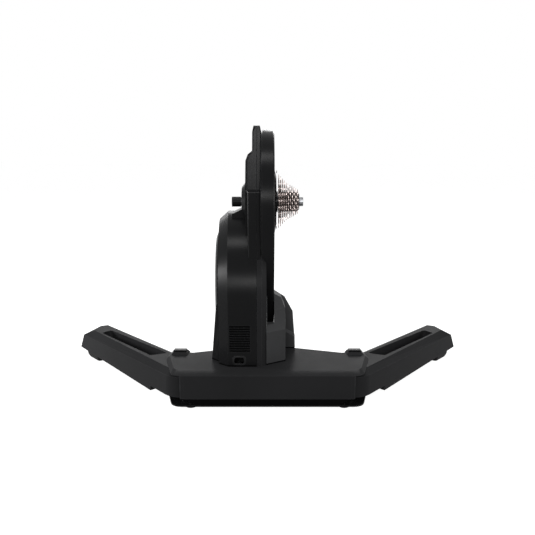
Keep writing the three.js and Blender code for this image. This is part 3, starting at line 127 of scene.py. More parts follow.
def blendColours(tree, factor, first, second):
    # a Mix node has its factor at input 0 and its two colours at inputs 6 and 7
    node = put(tree, "ShaderNodeMix", {"data_type": "RGBA"})
    for place, value in ((0, factor), (6, first), (7, second)):
        feed(tree, node.inputs[place], value)
    return node.outputs[2]


def startMaterial(name, look):
    material = bpy.data.materials.new(name)
    material.use_nodes = True
    tree = material.node_tree
    shader = tree.nodes["Principled BSDF"]
    shader.inputs["Metallic"].default_value = look.get("metal", 0.0)
    shader.inputs["Specular IOR Level"].default_value = look.get("specular", 0.5)
    shader.inputs["Sheen Weight"].default_value = look.get("sheen", 0.0)
    point = tree.nodes.new("ShaderNodeTexCoord").outputs["Object"]
    return material, tree, shader, point


def addBump(tree, shader, height, distance, strength):
    bump = put(tree, "ShaderNodeBump", Height=height, Strength=strength, Distance=distance)
    tree.links.new(bump.outputs[0], shader.inputs["Normal"])


# Rubbed edges with a painted highlight on them, found by how far a rounded normal turns away from the flat
# one
edgeWearAndHighlight = {"samples": 4, "edgeBelow": 0.86, "flatFrom": 0.995}


def edgeMask(tree, radius):
    # 0 on flat faces, 1 where two faces meet within the radius
    rounded = put(tree, "ShaderNodeBevel", {"samples": edgeWearAndHighlight["samples"]}, Radius=radius)
    flat = put(tree, "ShaderNodeNewGeometry")
    dot = put(tree, "ShaderNodeVectorMath", {"operation": "DOT_PRODUCT"})
    feed(tree, dot.inputs[0], rounded.outputs[0])
    feed(tree, dot.inputs[1], flat.outputs["Normal"])
    return spread(tree, dot.outputs["Value"], 1.0, 0.0, edgeWearAndHighlight["edgeBelow"], edgeWearAndHighlight["flatFrom"])


# Moulded or coated surfaces: soft cloudy colour, fine grain, rubbed edges lightened with a painted highlight
moulded = {
    "cloudDetail": 4.0, "darkShare": 0.88, "lightShare": 1.12, "rubAndHighlightScale": 60.0, "leastRubAndHighlight": 0.3,
    "patchShare": 2.3, "patchDetail": 5.0, "patchRoughness": 0.05, "grainDetail": 2.0,
}


def mouldedFinish(name, look):
    material, tree, shader, point = startMaterial(name, look)
    clouds = spread(tree, noise(tree, point, look["cloudScale"], moulded["cloudDetail"]), 0.0, 1.0)
    dark = brighter(look["colour"], moulded["darkShare"])
    light = brighter(look["colour"], moulded["lightShare"])
    colour = tinted(tree, clouds, dark, light)
    # the lighter edge colour is partly real wear and partly a painted highlight along the edges
    rubbedAndLit = spread(tree, noise(tree, point, moulded["rubAndHighlightScale"]), moulded["leastRubAndHighlight"], 1.0)
    rubbedAndLit = maths(tree, "MULTIPLY", edgeMask(tree, look["wearAndHighlightRadius"]), rubbedAndLit)
    rubbedAndLit = maths(tree, "MULTIPLY", rubbedAndLit, look["wearAndHighlight"])
    colour = blendColours(tree, rubbedAndLit, colour, opaque(look["wearAndHighlightColour"]))
    feed(tree, shader.inputs["Base Color"], colour)
    patches = noise(tree, point, look["cloudScale"] * moulded["patchShare"], moulded["patchDetail"])
    change = moulded["patchRoughness"]
    rough = spread(tree, patches, look["roughness"] - change, look["roughness"] + change)
    feed(tree, shader.inputs["Roughness"], rough)
    grain = noise(tree, point, look["grainScale"], moulded["grainDetail"])
    addBump(tree, shader, grain, look["grainDepth"], look["grainStrength"])
    return material


# Metal turned or brushed in rings about an axis along X
turned = {
    "waver": 1.5, "ringDetail": 3.0, "detailScale": 4.0, "tarnishDetail": 5.0,
    "smoother": 0.06, "rougher": 0.1, "ringRoughness": 0.08,
}


def turnedFinish(name, look):
    material, tree, shader, point = startMaterial(name, look)
    centred = put(tree, "ShaderNodeVectorMath", {"operation": "SUBTRACT"})
    feed(tree, centred.inputs[0], point)
    feed(tree, centred.inputs[1], look["axis"])
    rings = put(
        tree, "ShaderNodeTexWave", {"wave_type": "RINGS", "rings_direction": "X"},
        Vector=centred.outputs[0], Scale=look["ringScale"], Distortion=turned["waver"],
        Detail=turned["ringDetail"], Detail_Scale=turned["detailScale"],
    ).outputs["Fac"]
    tarnish = noise(tree, point, look["tarnishScale"], turned["tarnishDetail"])
    colour = tinted(tree, spread(tree, tarnish, 0.0, 1.0), look["colour"], look["tarnish"])
    feed(tree, shader.inputs["Base Color"], colour)
    smoothest, roughest = look["roughness"] - turned["smoother"], look["roughness"] + turned["rougher"]
    rough = spread(tree, tarnish, smoothest, roughest)
    rough = maths(tree, "ADD", rough, maths(tree, "MULTIPLY", rings, turned["ringRoughness"]))
    feed(tree, shader.inputs["Roughness"], rough)
    addBump(tree, shader, rings, look["grainDepth"], look["grainStrength"])
    return material


def boardFinish(name, look):
    # solder mask over copper tracks, with pale pads
    material, tree, shader, point = startMaterial(name, look)
    tracks = put(
        tree, "ShaderNodeTexBrick", {"offset": look["trackOffset"]}, Vector=point, Scale=look["trackScale"],
        Mortar_Size=look["trackGap"], Mortar=opaque(look["track"]), Color1=opaque(look["colour"]),
        Color2=opaque(brighter(look["colour"], look["otherShare"])),
    )
    pads = put(tree, "ShaderNodeTexVoronoi", Vector=point, Scale=look["padScale"]).outputs["Distance"]
    isPad = spread(tree, pads, 1.0, 0.0, look["padInside"], look["padOutside"])
    colour = blendColours(tree, isPad, tracks.outputs["Color"], opaque(look["pad"]))
    feed(tree, shader.inputs["Base Color"], colour)
    patches = noise(tree, point, look["patchScale"])
    feed(tree, shader.inputs["Roughness"], spread(tree, patches, look["smoothest"], look["roughest"]))
    addBump(tree, shader, isPad, look["padHeight"], look["padStrength"])
    return material


# Finishes

def axisOf(jointName):
    joint = next(joint for joint in frame["joints"] if joint["name"] == jointName)
    return (0.0, *joint["pos_m"][1:])


wheelAxis = axisOf("pulley_spin")
flywheelAxis = axisOf("flywheel_spin")

mouldedLooks = {
    "blackMoulding": {
        "colour": (0.0058, 0.0059, 0.0062), "roughness": 0.26, "specular": 0.03, "cloudScale": 7.0,
        "grainScale": 1500.0, "grainDepth": 0.00006, "grainStrength": 0.25,
        "wearAndHighlight": 0.30, "wearAndHighlightRadius": 0.0012, "wearAndHighlightColour": (0.050, 0.051, 0.053),
    },
    # the black moulding made lighter for the right fairing: painted light, with lighter edges as well
    "fairingPaintedLight": {
        "colour": (0.0270, 0.0273, 0.0281), "roughness": 0.4, "specular": 0.05, "cloudScale": 8.0,
        "grainScale": 1300.0, "grainDepth": 0.00006, "grainStrength": 0.3,
        "wearAndHighlight": 0.45, "wearAndHighlightRadius": 0.0012, "wearAndHighlightColour": (0.10, 0.102, 0.105),
    },
    "satinMoulding": {
        "colour": (0.0045, 0.0046, 0.0049), "roughness": 0.26, "specular": 0.03, "cloudScale": 9.0,
        "grainScale": 2200.0, "grainDepth": 0.00004, "grainStrength": 0.2,
        "wearAndHighlight": 0.28, "wearAndHighlightRadius": 0.0008, "wearAndHighlightColour": (0.035, 0.036, 0.038),
    },
    "powderCoat": {
        "colour": (0.0135, 0.0136, 0.0142), "roughness": 0.33, "specular": 0.01, "cloudScale": 5.0,
        "grainScale": 850.0, "grainDepth": 0.00012, "grainStrength": 0.3,
        "wearAndHighlight": 0.35, "wearAndHighlightRadius": 0.0015, "wearAndHighlightColour": (0.060, 0.061, 0.064),
    },
    "rubber": {
        "colour": (0.0050, 0.0050, 0.0051), "roughness": 0.74, "specular": 0.05, "sheen": 0.03,
        "cloudScale": 20.0, "grainScale": 700.0, "grainDepth": 0.0002, "grainStrength": 0.5,
        "wearAndHighlight": 0.3, "wearAndHighlightRadius": 0.001, "wearAndHighlightColour": (0.02, 0.02, 0.02),
    },
    "blackAnodising": {
        "colour": (0.0060, 0.0060, 0.0068), "roughness": 0.33, "metal": 0.25, "specular": 0.2,
        "cloudScale": 30.0, "grainScale": 2600.0, "grainDepth": 0.00003, "grainStrength": 0.3,
        "wearAndHighlight": 0.55, "wearAndHighlightRadius": 0.0005, "wearAndHighlightColour": (0.13, 0.13, 0.14),
    },
    # edges lightened strongly: a painted highlight that outlines the rim of the power inlet
    "inletShell": {
        "colour": (0.0060, 0.0061, 0.0064), "roughness": 0.35, "specular": 0.1, "cloudScale": 60.0,
        "grainScale": 2400.0, "grainDepth": 0.00004, "grainStrength": 0.2,
        "wearAndHighlight": 0.9, "wearAndHighlightRadius": 0.0006, "wearAndHighlightColour": (0.09, 0.092, 0.095),
    },
    # near-black, painted shade for sheets laid into recesses, under the base and along seams
    "paintedShade": {
        "colour": (0.0012, 0.0012, 0.0013), "roughness": 0.9, "specular": 0.02, "cloudScale": 40.0,
        "grainScale": 1800.0, "grainDepth": 0.0001, "grainStrength": 0.5,
        "wearAndHighlight": 0.1, "wearAndHighlightRadius": 0.0004, "wearAndHighlightColour": (0.004, 0.004, 0.004),
    },
}
turnedLooks = {
    "nickelSteel": {
        "colour": (0.31, 0.268, 0.255), "tarnish": (0.15, 0.122, 0.114), "roughness": 0.3, "metal": 1.0,
        "axis": wheelAxis, "ringScale": 700.0, "tarnishScale": 45.0,
        "grainDepth": 0.00002, "grainStrength": 0.25,
    },
    "turnedSteel": {
        "colour": (0.33, 0.335, 0.345), "tarnish": (0.22, 0.22, 0.23), "roughness": 0.3, "metal": 1.0,
        "axis": wheelAxis, "ringScale": 900.0, "tarnishScale": 35.0,
        "grainDepth": 0.00003, "grainStrength": 0.3,
    },
    "flywheelSteel": {
        "colour": (0.30, 0.305, 0.315), "tarnish": (0.2, 0.2, 0.21), "roughness": 0.33, "metal": 1.0,
        "axis": flywheelAxis, "ringScale": 500.0, "tarnishScale": 25.0,
        "grainDepth": 0.00004, "grainStrength": 0.3,
    },
    "greyAluminium": {
        "colour": (0.15, 0.152, 0.158), "tarnish": (0.10, 0.10, 0.104), "roughness": 0.4, "metal": 1.0,
        "axis": wheelAxis, "ringScale": 1100.0, "tarnishScale": 60.0,
        "grainDepth": 0.00002, "grainStrength": 0.25,
    },
}
boardLook = {
    "colour": (0.01, 0.06, 0.028), "otherShare": 0.8, "specular": 0.5,
    "track": (0.03, 0.13, 0.06), "trackScale": 160.0, "trackOffset": 0.35, "trackGap": 0.035,
    "pad": (0.55, 0.52, 0.46), "padScale": 240.0, "padInside": 0.12, "padOutside": 0.16,
    "padHeight": 0.0002, "padStrength": 0.4, "patchScale": 90.0, "smoothest": 0.35, "roughest": 0.5,
}

finishes = {name: mouldedFinish(name, look) for name, look in mouldedLooks.items()}
finishes.update({name: turnedFinish(name, look) for name, look in turnedLooks.items()})
finishes["solderMask"] = boardFinish("solderMask", boardLook)

nodesByFinish = {
    "powderCoat": ["base_shell", "left_leg", "right_leg", "frame"],
    "blackMoulding": ["left_housing", "belt_cover", "left_fairing", "right_fairing"],
    "satinMoulding": [
        "base_plate", "left_hinge_bush", "right_hinge_bush", "left_lock_button", "right_lock_button",
        "flywheel_cap", "vent_grille", "power_inlet", "hub_ring", "left_end_cap",
    ],
    "rubber": [
        "rear_left_foot", "rear_right_foot", "front_left_foot", "front_right_foot",
        "left_leg_pad", "right_leg_pad", "drive_belt",
    ],
    "blackAnodising": [
        "axle_tube", "axle_nut", "drive_pulley", "small_pulley", "freehub_body", "cassette_carrier",
        "cassette_lockring",
    ],
    "turnedSteel": [
        "left_hinge_pin", "right_hinge_pin", "left_lock_spring", "right_lock_spring",
        "left_hub_bearing", "right_hub_bearing", "freehub_bearing",
    ],
    "flywheelSteel": [
        "flywheel", "flywheel_shaft", "left_shaft_bearing", "right_shaft_bearing", "brake_unit",
    ],
    "greyAluminium": ["right_end_cap"],
    "nickelSteel": [name for name in nodes if name.startswith("cog_")],
    "solderMask": ["control_board"],
}
for finishName, names in nodesByFinish.items():
    for name in names:
        for place in nodes[name].material_slots:
            place.link = "OBJECT"
            place.material = finishes[finishName]
print("finishes:", len(finishes))


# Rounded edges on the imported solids
edges = {
    "joinWithin": 0.01, "flatWithin": 0.6, "sharpFrom": 19, "roundFrom": 17,
    "steps": 2, "faceWeight": 60, "plainRadius": 0.3,
    "radius": {
        "base_shell": 1.6, "base_plate": 0.8, "left_leg": 1.4, "right_leg": 1.4, "left_leg_pad": 1.2,
        "right_leg_pad": 1.2, "left_lock_button": 0.8, "right_lock_button": 0.8, "frame": 0.8,
        "left_housing": 1.0, "belt_cover": 1.2, "flywheel_cap": 1.0, "left_fairing": 1.6,
        "right_fairing": 1.6, "hub_ring": 0.8,
    },
    "leftAsTheyAre": ["left_lock_spring", "right_lock_spring", "control_board", "vent_grille", "power_inlet"],
}


def smoothingTree():
    # joins the corners, drops the flat shading and keeps only edges sharper than sharpFrom sharp
    tree = bpy.data.node_groups.new("smoothFaces", "GeometryNodeTree")
    for direction in ("INPUT", "OUTPUT"):
        tree.interface.new_socket("Geometry", in_out=direction, socket_type="NodeSocketGeometry")
    entry = tree.nodes.new("NodeGroupInput")
    leave = tree.nodes.new("NodeGroupOutput")
    joined = put(tree, "GeometryNodeMergeByDistance", Geometry=entry.outputs[0])
    feed(tree, joined.inputs["Distance"], edges["joinWithin"] * mm)
    shape = joined.outputs[0]
    for attribute in ("custom_normal", "sharp_edge", "sharp_face"):
        shape = put(tree, "GeometryNodeRemoveAttribute", Geometry=shape, Name=attribute).outputs[0]
    bend = tree.nodes.new("GeometryNodeInputMeshEdgeAngle")
    sharper = tree.nodes.new("FunctionNodeCompare")
    feed(tree, sharper.inputs[0], bend.outputs["Unsigned Angle"])
    feed(tree, sharper.inputs[1], math.radians(edges["sharpFrom"]))
    smooth = put(tree, "GeometryNodeSetShadeSmooth", {"domain": "EDGE"}, Shade_Smooth=False)
    feed(tree, smooth.inputs[0], shape)
    feed(tree, smooth.inputs["Selection"], sharper.outputs[0])
    feed(tree, leave.inputs[0], smooth.outputs[0])
    return tree


def addRounding(thing, radius, fromDegrees=30):
    rounding = thing.modifiers.new("roundedEdges", "BEVEL")
    rounding.width = radius * mm
    rounding.segments = edges["steps"]
    rounding.limit_method = "ANGLE"
    rounding.angle_limit = math.radians(fromDegrees)
    normals = thing.modifiers.new("evenShading", "WEIGHTED_NORMAL")
    normals.weight = edges["faceWeight"]
    return rounding


def roundNode(node):
    shading = node.modifiers.new("smooth", "NODES")
    shading.node_group = smoothing
    flatten = node.modifiers.new("flatFaces", "DECIMATE")
    flatten.decimate_type = "DISSOLVE"
    flatten.angle_limit = math.radians(edges["flatWithin"])
    rounding = addRounding(node, edges["radius"].get(node.name, edges["plainRadius"]), edges["roundFrom"])
    rounding.miter_outer = "MITER_ARC"


smoothing = smoothingTree()
for name, node in nodes.items():
    if name not in edges["leftAsTheyAre"]:
        roundNode(node)
print("edges rounded")


# Mesh helpers
meshes = {"joinWithin": 0.0001, "flatWithin": 0.5, "keepBelow": 40, "reachShare": 0.45}


def addToScene(name, data):
    thing = bpy.data.objects.new(name, data)
    bpy.context.scene.collection.objects.link(thing)
    return thing


def makeObject(name, mesh, finish, body):
    mesh.materials.append(finishes[finish])
    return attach(addToScene(name, mesh), body)


def fromRear(x, forward, height):
    # forward is counted from the base's rear face
    return Vector((x, rearFace + forward, height)) * mm


def polar(radius, angle):
    return (radius * math.cos(angle), radius * math.sin(angle))


def circle(radius, steps):
    return [polar(radius, 2 * math.pi * k / steps) for k in range(steps)]


def bridgeLoops(builder, first, second):
    count = len(first)
    for k in range(count):
        builder.faces.new([first[k], first[(k + 1) % count], second[(k + 1) % count], second[k]])


def loft(builder, rings):
    # a closed solid through rings of (x, forward, height)
    made = [[builder.verts.new(fromRear(*corner)) for corner in ring] for ring in rings]
    for lower, upper in zip(made, made[1:]):
        bridgeLoops(builder, lower, upper)
    builder.faces.new(made[0])
    builder.faces.new(made[-1])


def prism(builder, outline, left, right):
    # an outline of (forward, height) between two places along X
    loft(builder, [[(x, forward, height) for forward, height in outline] for x in (left, right)])


def block(builder, left, right, rear, front, bottom, top):
    prism(builder, [(rear, bottom), (front, bottom), (front, top), (rear, top)], left, right)


def meshOf(builder, name):
    mesh = bpy.data.meshes.new(name)
    builder.to_mesh(mesh)
    builder.free()
    return mesh


def meshFrom(name, solid):
    # a solid is a function that adds closed forms to a builder
    builder = bmesh.new()
    solid(builder)
    bmesh.ops.recalc_face_normals(builder, faces=builder.faces)
    return meshOf(builder, name)


def smoothMesh(builder, name, smoothFrom, planar=True):
    # edges that turn by more than smoothFrom degrees stay sharp
    bmesh.ops.remove_doubles(builder, verts=builder.verts, dist=meshes["joinWithin"] * mm)
    if planar:
        bmesh.ops.dissolve_limit(
            builder, angle_limit=math.radians(meshes["flatWithin"]), verts=builder.verts,
            edges=builder.edges, use_dissolve_boundaries=False,
        )
    bmesh.ops.recalc_face_normals(builder, faces=builder.faces)
    mesh = meshOf(builder, name)
    mesh.shade_smooth()
    mesh.set_sharp_from_angle(angle=math.radians(smoothFrom))
    return mesh


def combined(name, operation, first, second):
    # the second closed form is joined to the first or cut out of it
    work = addToScene(f"{name}_work", first)
    tool = addToScene(f"{name}_tool", second)
    step = work.modifiers.new(operation, "BOOLEAN")
    step.operation = operation
    step.solver = "EXACT"
    step.object = tool
    depsgraph = bpy.context.evaluated_depsgraph_get()
    result = bpy.data.meshes.new_from_object(work.evaluated_get(depsgraph))
    for leftover in (work, tool):
        bpy.data.objects.remove(leftover)
    result.name = name
    return result


def softened(corners, radius):
    # cuts the sharp corners of a closed outline back and puts three points in each
    out = []
    count = len(corners)
    for k in range(count):
        before, here, after = (Vector(corners[(k + step) % count]) for step in (-1, 0, 1))
        toBefore, toAfter = before - here, after - here
        if math.degrees(math.pi - toBefore.angle(toAfter)) < meshes["keepBelow"]:
            out.append(tuple(here))
            continue
        reach = min(radius, toBefore.length * meshes["reachShare"], toAfter.length * meshes["reachShare"])
        first, last = here + toBefore.normalized() * reach, here + toAfter.normalized() * reach
        out += [tuple(first), tuple((first + last) / 4 + here / 2), tuple(last)]
    return out


def plateWithHoles(builder, outline, holes, left, right, finishPlace=0):
    # a plate round the wheel axis, from loops of (y, z) or (y, z, thickness share)
    before = set(builder.faces)
    middle, half = (left + right) / 2, (right - left) / 2
    sides = []
    for side in (-1, 1):
        loops = []
        for loop in (outline, *holes):
            ring = []
            for y, z, *share in loop:
                x = middle + side * half * (share[0] if share else 1.0)
                ring.append(builder.verts.new((x * mm, wheelAxis[1] + y * mm, wheelAxis[2] + z * mm)))
            loops.append(ring)
        flat = [[Vector((v.co.y, v.co.z, 0)) for v in ring] for ring in loops]
        every = [v for ring in loops for v in ring]
        for triangle in tessellate_polygon(flat):
            face = builder.faces.new([every[k] for k in triangle])
            face.normal_update()
            if face.normal.x * side < 0:
                face.normal_flip()
        sides.append(loops)
    for ringLeft, ringRight in zip(*sides):
        bridgeLoops(builder, ringLeft, ringRight)
    for face in builder.faces:
        if face not in before:
            face.material_index = finishPlace


# Cassette: the cogs are drawn from the chain's pitch and roller, and the smaller ones carry a spacer
cassette = {
    "teeth": [25, 23, 21, 19, 17, 16, 15, 14, 13, 12, 11],
    "chainPitch": 12.7, "rollerRadius": 3.95, "seatAngles": [-58, -30, 0, 30, 58],
    "tipShare": 0.6, "tipHalfWidth": 0.8, "flankHalfWidth": 1.75, "flankRise": 1.1,
    "tipThinShare": 0.5, "flankThinShare": 0.86, "rampEvery": 6, "rampAt": 2, "rampDrop": 0.9,
    "boreRadius": 18.17, "boreSteps": 36, "windowedCogs": 4, "windows": 5, "windowSteps": 5,
    "windowInner": 24.5, "windowRim": 8.2, "windowShare": 0.66, "windowRound": 2.2, "windowRoundShare": 0.4,
    "plateThickness": 1.5, "plateInset": 0.15, "spacersFrom": 2, "spacerRadius": 19.6, "spacerGap": 0.02,
    "rounding": 0.14, "smoothFrom": 34,
}


def pitchRadiusOf(teeth):
    return cassette["chainPitch"] / (2 * math.sin(math.pi / teeth))


def cogLoop(teeth):
    # (y, z, thickness share) round one cog, from roller seat to roller seat
    pitchRadius = pitchRadiusOf(teeth)
    tipRadius = cassette["chainPitch"] / 2 * (cassette["tipShare"] + 1 / math.tan(math.pi / teeth))
    flankRadius = pitchRadius + cassette["flankRise"]
    tipHalf, flankHalf = cassette["tipHalfWidth"], cassette["flankHalfWidth"]
    tipThin, flankThin = cassette["tipThinShare"], cassette["flankThinShare"]
    step = 2 * math.pi / teeth
    loop = []
    for k in range(teeth):
        seat = Vector(polar(pitchRadius, k * step))
        for degrees in cassette["seatAngles"]:
            y, z = seat + Vector(polar(cassette["rollerRadius"], k * step + math.pi - math.radians(degrees)))
            loop.append((y, z, 1.0))
        ramp = k % cassette["rampEvery"] == cassette["rampAt"]
        top = tipRadius - (cassette["rampDrop"] if ramp else 0)
        for radius, half, thin in (
            (flankRadius, -flankHalf, flankThin), (top, -tipHalf, tipThin),
            (top, tipHalf, tipThin), (flankRadius, flankHalf, flankThin),
        ):
            y, z = polar(radius, (k + 0.5) * step + half / radius)
            loop.append((y, z, thin))
    return loop


def windowLoop(order, teeth):
    # one rounded window between two arms of the cog
    inner = cassette["windowInner"]
    outer = pitchRadiusOf(teeth) - cassette["rollerRadius"] - cassette["windowRim"]
    step = 2 * math.pi / cassette["windows"]
    half = step * cassette["windowShare"] / 2
    steps = cassette["windowSteps"]
    turns = [step * order - half + 2 * half * k / steps for k in range(steps + 1)]
    corners = [polar(inner, turn) for turn in turns] + [polar(outer, turn) for turn in reversed(turns)]
    return softened(corners, min(cassette["windowRound"], (outer - inner) * cassette["windowRoundShare"]))


def makeCog(order):
    teeth = cassette["teeth"][order]
    node = f"cog_{teeth}t"
    low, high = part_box(node)
    plateRight = high.x / mm - cassette["plateInset"]
    plateLeft = plateRight - cassette["plateThickness"]
    bore = circle(cassette["boreRadius"], cassette["boreSteps"])
    holes = [bore]
    if order < cassette["windowedCogs"]:
        holes += [windowLoop(k, teeth) for k in range(cassette["windows"])]
    builder = bmesh.new()
    plateWithHoles(builder, cogLoop(teeth), holes, plateLeft, plateRight)
    if order >= cassette["spacersFrom"]:
        spacer = circle(cassette["spacerRadius"], cassette["boreSteps"])
        plateWithHoles(builder, spacer, [bore], low.x / mm, plateLeft - cassette["spacerGap"], 1)
    mesh = smoothMesh(builder, node, cassette["smoothFrom"])
    cog = makeObject(f"{node}_toothed", mesh, "nickelSteel", "cassette_body")
    cog.data.materials.append(finishes["satinMoulding"])
    addRounding(cog, cassette["rounding"])
    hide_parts(node)


for order in range(len(cassette["teeth"])):
    makeCog(order)

# Lockring: a knurled flange with tool notches, on a plain spigot
lockring = {
    "outer": 16.2, "inner": 10.6, "notch": 11.7, "notches": 12, "knurls": 36, "knurl": 0.25,
    "flange": 1.9, "gap": 0.02, "spigot": 12.1, "steps": 36, "rounding": 0.15, "smoothFrom": 34,
    # where each notch turns in and out, as shares of the way to the next one
    "notchShares": [(0.0, "inner"), (0.46, "inner"), (0.54, "notch"), (0.92, "notch")],
}


def makeLockring():
    piece = lockring
    low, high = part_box("cassette_lockring")
    left, right = low.x / mm, high.x / mm
    rim = []
    for k in range(piece["knurls"] * 2):
        rim.append(polar(piece["outer"] - (piece["knurl"] if k % 2 else 0), math.pi * k / piece["knurls"]))
    tool = []
    for k in range(piece["notches"]):
        for share, radius in piece["notchShares"]:
            tool.append(polar(piece[radius], 2 * math.pi * (k + share) / piece["notches"]))
    builder = bmesh.new()
    flangeLeft = right - piece["flange"]
    plateWithHoles(builder, rim, [tool], flangeLeft, right)
    spigot, bore = circle(piece["spigot"], piece["steps"]), circle(piece["inner"], piece["steps"])
    plateWithHoles(builder, spigot, [bore], left, flangeLeft - piece["gap"])
    mesh = smoothMesh(builder, "lockring", piece["smoothFrom"])
    ring = makeObject("lockring_toothed", mesh, "blackAnodising", "cassette_body")
    addRounding(ring, piece["rounding"])
    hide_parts("cassette_lockring")


makeLockring()
print("cassette built")

# Screws on the hub ring: a domed head round a six-sided recess
hubScrews = {
    "count": 5, "ringRadius": 59.0, "turn": 90.0, "radius": 2.6, "riseShare": 0.5, "recessShare": 0.52,
    "recessSides": 6, "steps": 24, "smoothFrom": 40,
    # radius and height of each row, as shares of the head's or the recess's radius and of the rise
    "headShares": [(1.0, 0.0), (1.0, 0.55), (0.9, 0.88), (0.74, 1.0)],
    "recessShares": [(1.0, 1.0), (0.97, 0.25)],
}


def makeHubScrew(name, centre):
    piece = hubScrews
    outward = Vector((1, 0, 0))
    across = outward.orthogonal().normalized()
    other = outward.cross(across)
    turns = [2 * math.pi * k / piece["steps"] for k in range(piece["steps"])]
    halfSide = math.pi / piece["recessSides"]
    flat = piece["radius"] * piece["recessShare"] * math.cos(halfSide)
    recess = [flat / math.cos(turn % (2 * halfSide) - halfSide) for turn in turns]
    rows = [([piece["radius"] * share] * piece["steps"], rise) for share, rise in piece["headShares"]]
    rows += [([radius * share for radius in recess], rise) for share, rise in piece["recessShares"]]
    builder = bmesh.new()
    rings = []
    for radii, rise in rows:
        height = piece["radius"] * piece["riseShare"] * rise
        ring = []
        for radius, turn in zip(radii, turns):
            y, z = polar(radius, turn)
            ring.append(builder.verts.new(centre + (across * y + other * z + outward * height) * mm))
        rings.append(ring)
    for first, second in zip(rings, rings[1:]):
        bridgeLoops(builder, first, second)
    builder.faces.new(rings[0])
    builder.faces.new(rings[-1])
    mesh = smoothMesh(builder, name, piece["smoothFrom"], planar=False)
    screw = makeObject(name, mesh, "blackAnodising", "base")


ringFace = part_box("hub_ring")[1].x
for k in range(hubScrews["count"]):
    turn = math.radians(hubScrews["turn"]) + 2 * math.pi * k / hubScrews["count"]
    y, z = polar(hubScrews["ringRadius"] * mm, turn)
    makeHubScrew(f"hub_screw_{k + 1}", Vector((ringFace, wheelAxis[1] + y, wheelAxis[2] + z)))
print("screws built")

# Right fairing: a block beside the drum and a wider one in front of it, both cut out round the belt cover
podRear = {
    "left": -1.7, "rear": 44.7, "front": 152.0, "cornerRight": 34.5, "cornerRear": 68.0, "frontRight": 36.5,
    "foot": 74.8, "ridge": 135.5, "ridgeRear": 72.0,
    "shoulder": 169.0, "shoulderRear": 70.0, "shoulderRight": 34.1, "shoulderCorner": 100.0,
    "crown": 202.0, "crownRear": 116.0, "crownRight": 26.8, "crownCorner": 126.0, "crownLow": 184.7,
}
podFront = {
    "leftFront": 158.0, "rightFront": 151.5, "lean": 1.6,
    # right side, rear side, height and rise to the left of each level
    "levels": [
        (56.6, 145.0, 74.8, 0.0), (56.0, 144.5, 98.0, 31.0), (54.8, 149.0, 104.0, 31.0),
        (51.4, 149.5, 149.5, 28.0),
    ],
    "crown": (34.4, 152.5, 180.0), "rounding": 1.2, "roundFrom": 14,
}
# the belt cover's own room, cut out of both blocks
coverRoom = {
    "left": -0.6, "right": 13.3, "rear": 0.0, "front": 200.0, "top": 380.0,
    "notch": 147.6, "notchRear": 77.0, "notchFront": 150.0, "floor": 122.0,
}


def podRearBlock(builder):
    pod = podRear
    left, front = pod["left"], pod["front"]

    def level(height, rear, right, cornerRear, frontRight):
        corners = [(left, rear), (right, cornerRear), (frontRight, front), (left, front)]
        return [(x, forward, height) for x, forward in corners]

    loft(builder, [
        level(pod["foot"], pod["rear"], pod["cornerRight"], pod["cornerRear"], pod["frontRight"]),
        level(pod["ridge"], pod["rear"], pod["cornerRight"], pod["ridgeRear"], pod["frontRight"]),
        level(
            pod["shoulder"], pod["shoulderRear"], pod["shoulderRight"], pod["shoulderCorner"],
            pod["shoulderRight"],
        ),
        [
            (left, pod["crownRear"], pod["crown"]), (pod["crownRight"], pod["crownCorner"], pod["crownLow"]),
            (pod["crownRight"], front, pod["crownLow"]), (left, front, pod["crown"]),
        ],
    ])


def podFrontBlock(builder):
    pod = podFront
    left, lean, crown = podRear["left"], pod["lean"], podRear["crown"]
    rings = []
    for right, rear, height, rise in pod["levels"]:
        rings.append([
            (left, rear, height + rise), (right - lean, rear, height),
            (right, pod["rightFront"], height), (left, pod["leftFront"], height + rise),
        ])
    right, rear, height = pod["crown"]
    rings.append([
        (left, rear, crown), (right - lean, rear, height),
        (right, pod["rightFront"] + lean, height), (left, pod["leftFront"], crown),
    ])
    loft(builder, rings)


def podNotch(builder):
    room = coverRoom
    outline = [
        (room["rear"], room["notch"]), (room["notchRear"], room["notch"]),
        (room["notchFront"], room["floor"]), (room["front"], room["floor"]),
        (room["front"], room["top"]), (room["rear"], room["top"]),
    ]
    prism(builder, outline, room["left"], room["right"])


# each block is cut by itself and then joined, since a cut of the joined blocks comes out empty
notch = meshFrom("notch", podNotch)
rearCut = combined("rear_cut", "DIFFERENCE", meshFrom("rear_block", podRearBlock), notch)
frontCut = combined("front_cut", "DIFFERENCE", meshFrom("front_block", podFrontBlock), notch)
podMesh = combined("right_fairing_blocks", "UNION", rearCut, frontCut)
# the fairing blocks take the lighter copy of the black moulding, which is painted light
rightFairing = makeObject("right_fairing_blocks", podMesh, "fairingPaintedLight", "base")
addRounding(rightFairing, podFront["rounding"], podFront["roundFrom"])
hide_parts("right_fairing")
print("right fairing built")

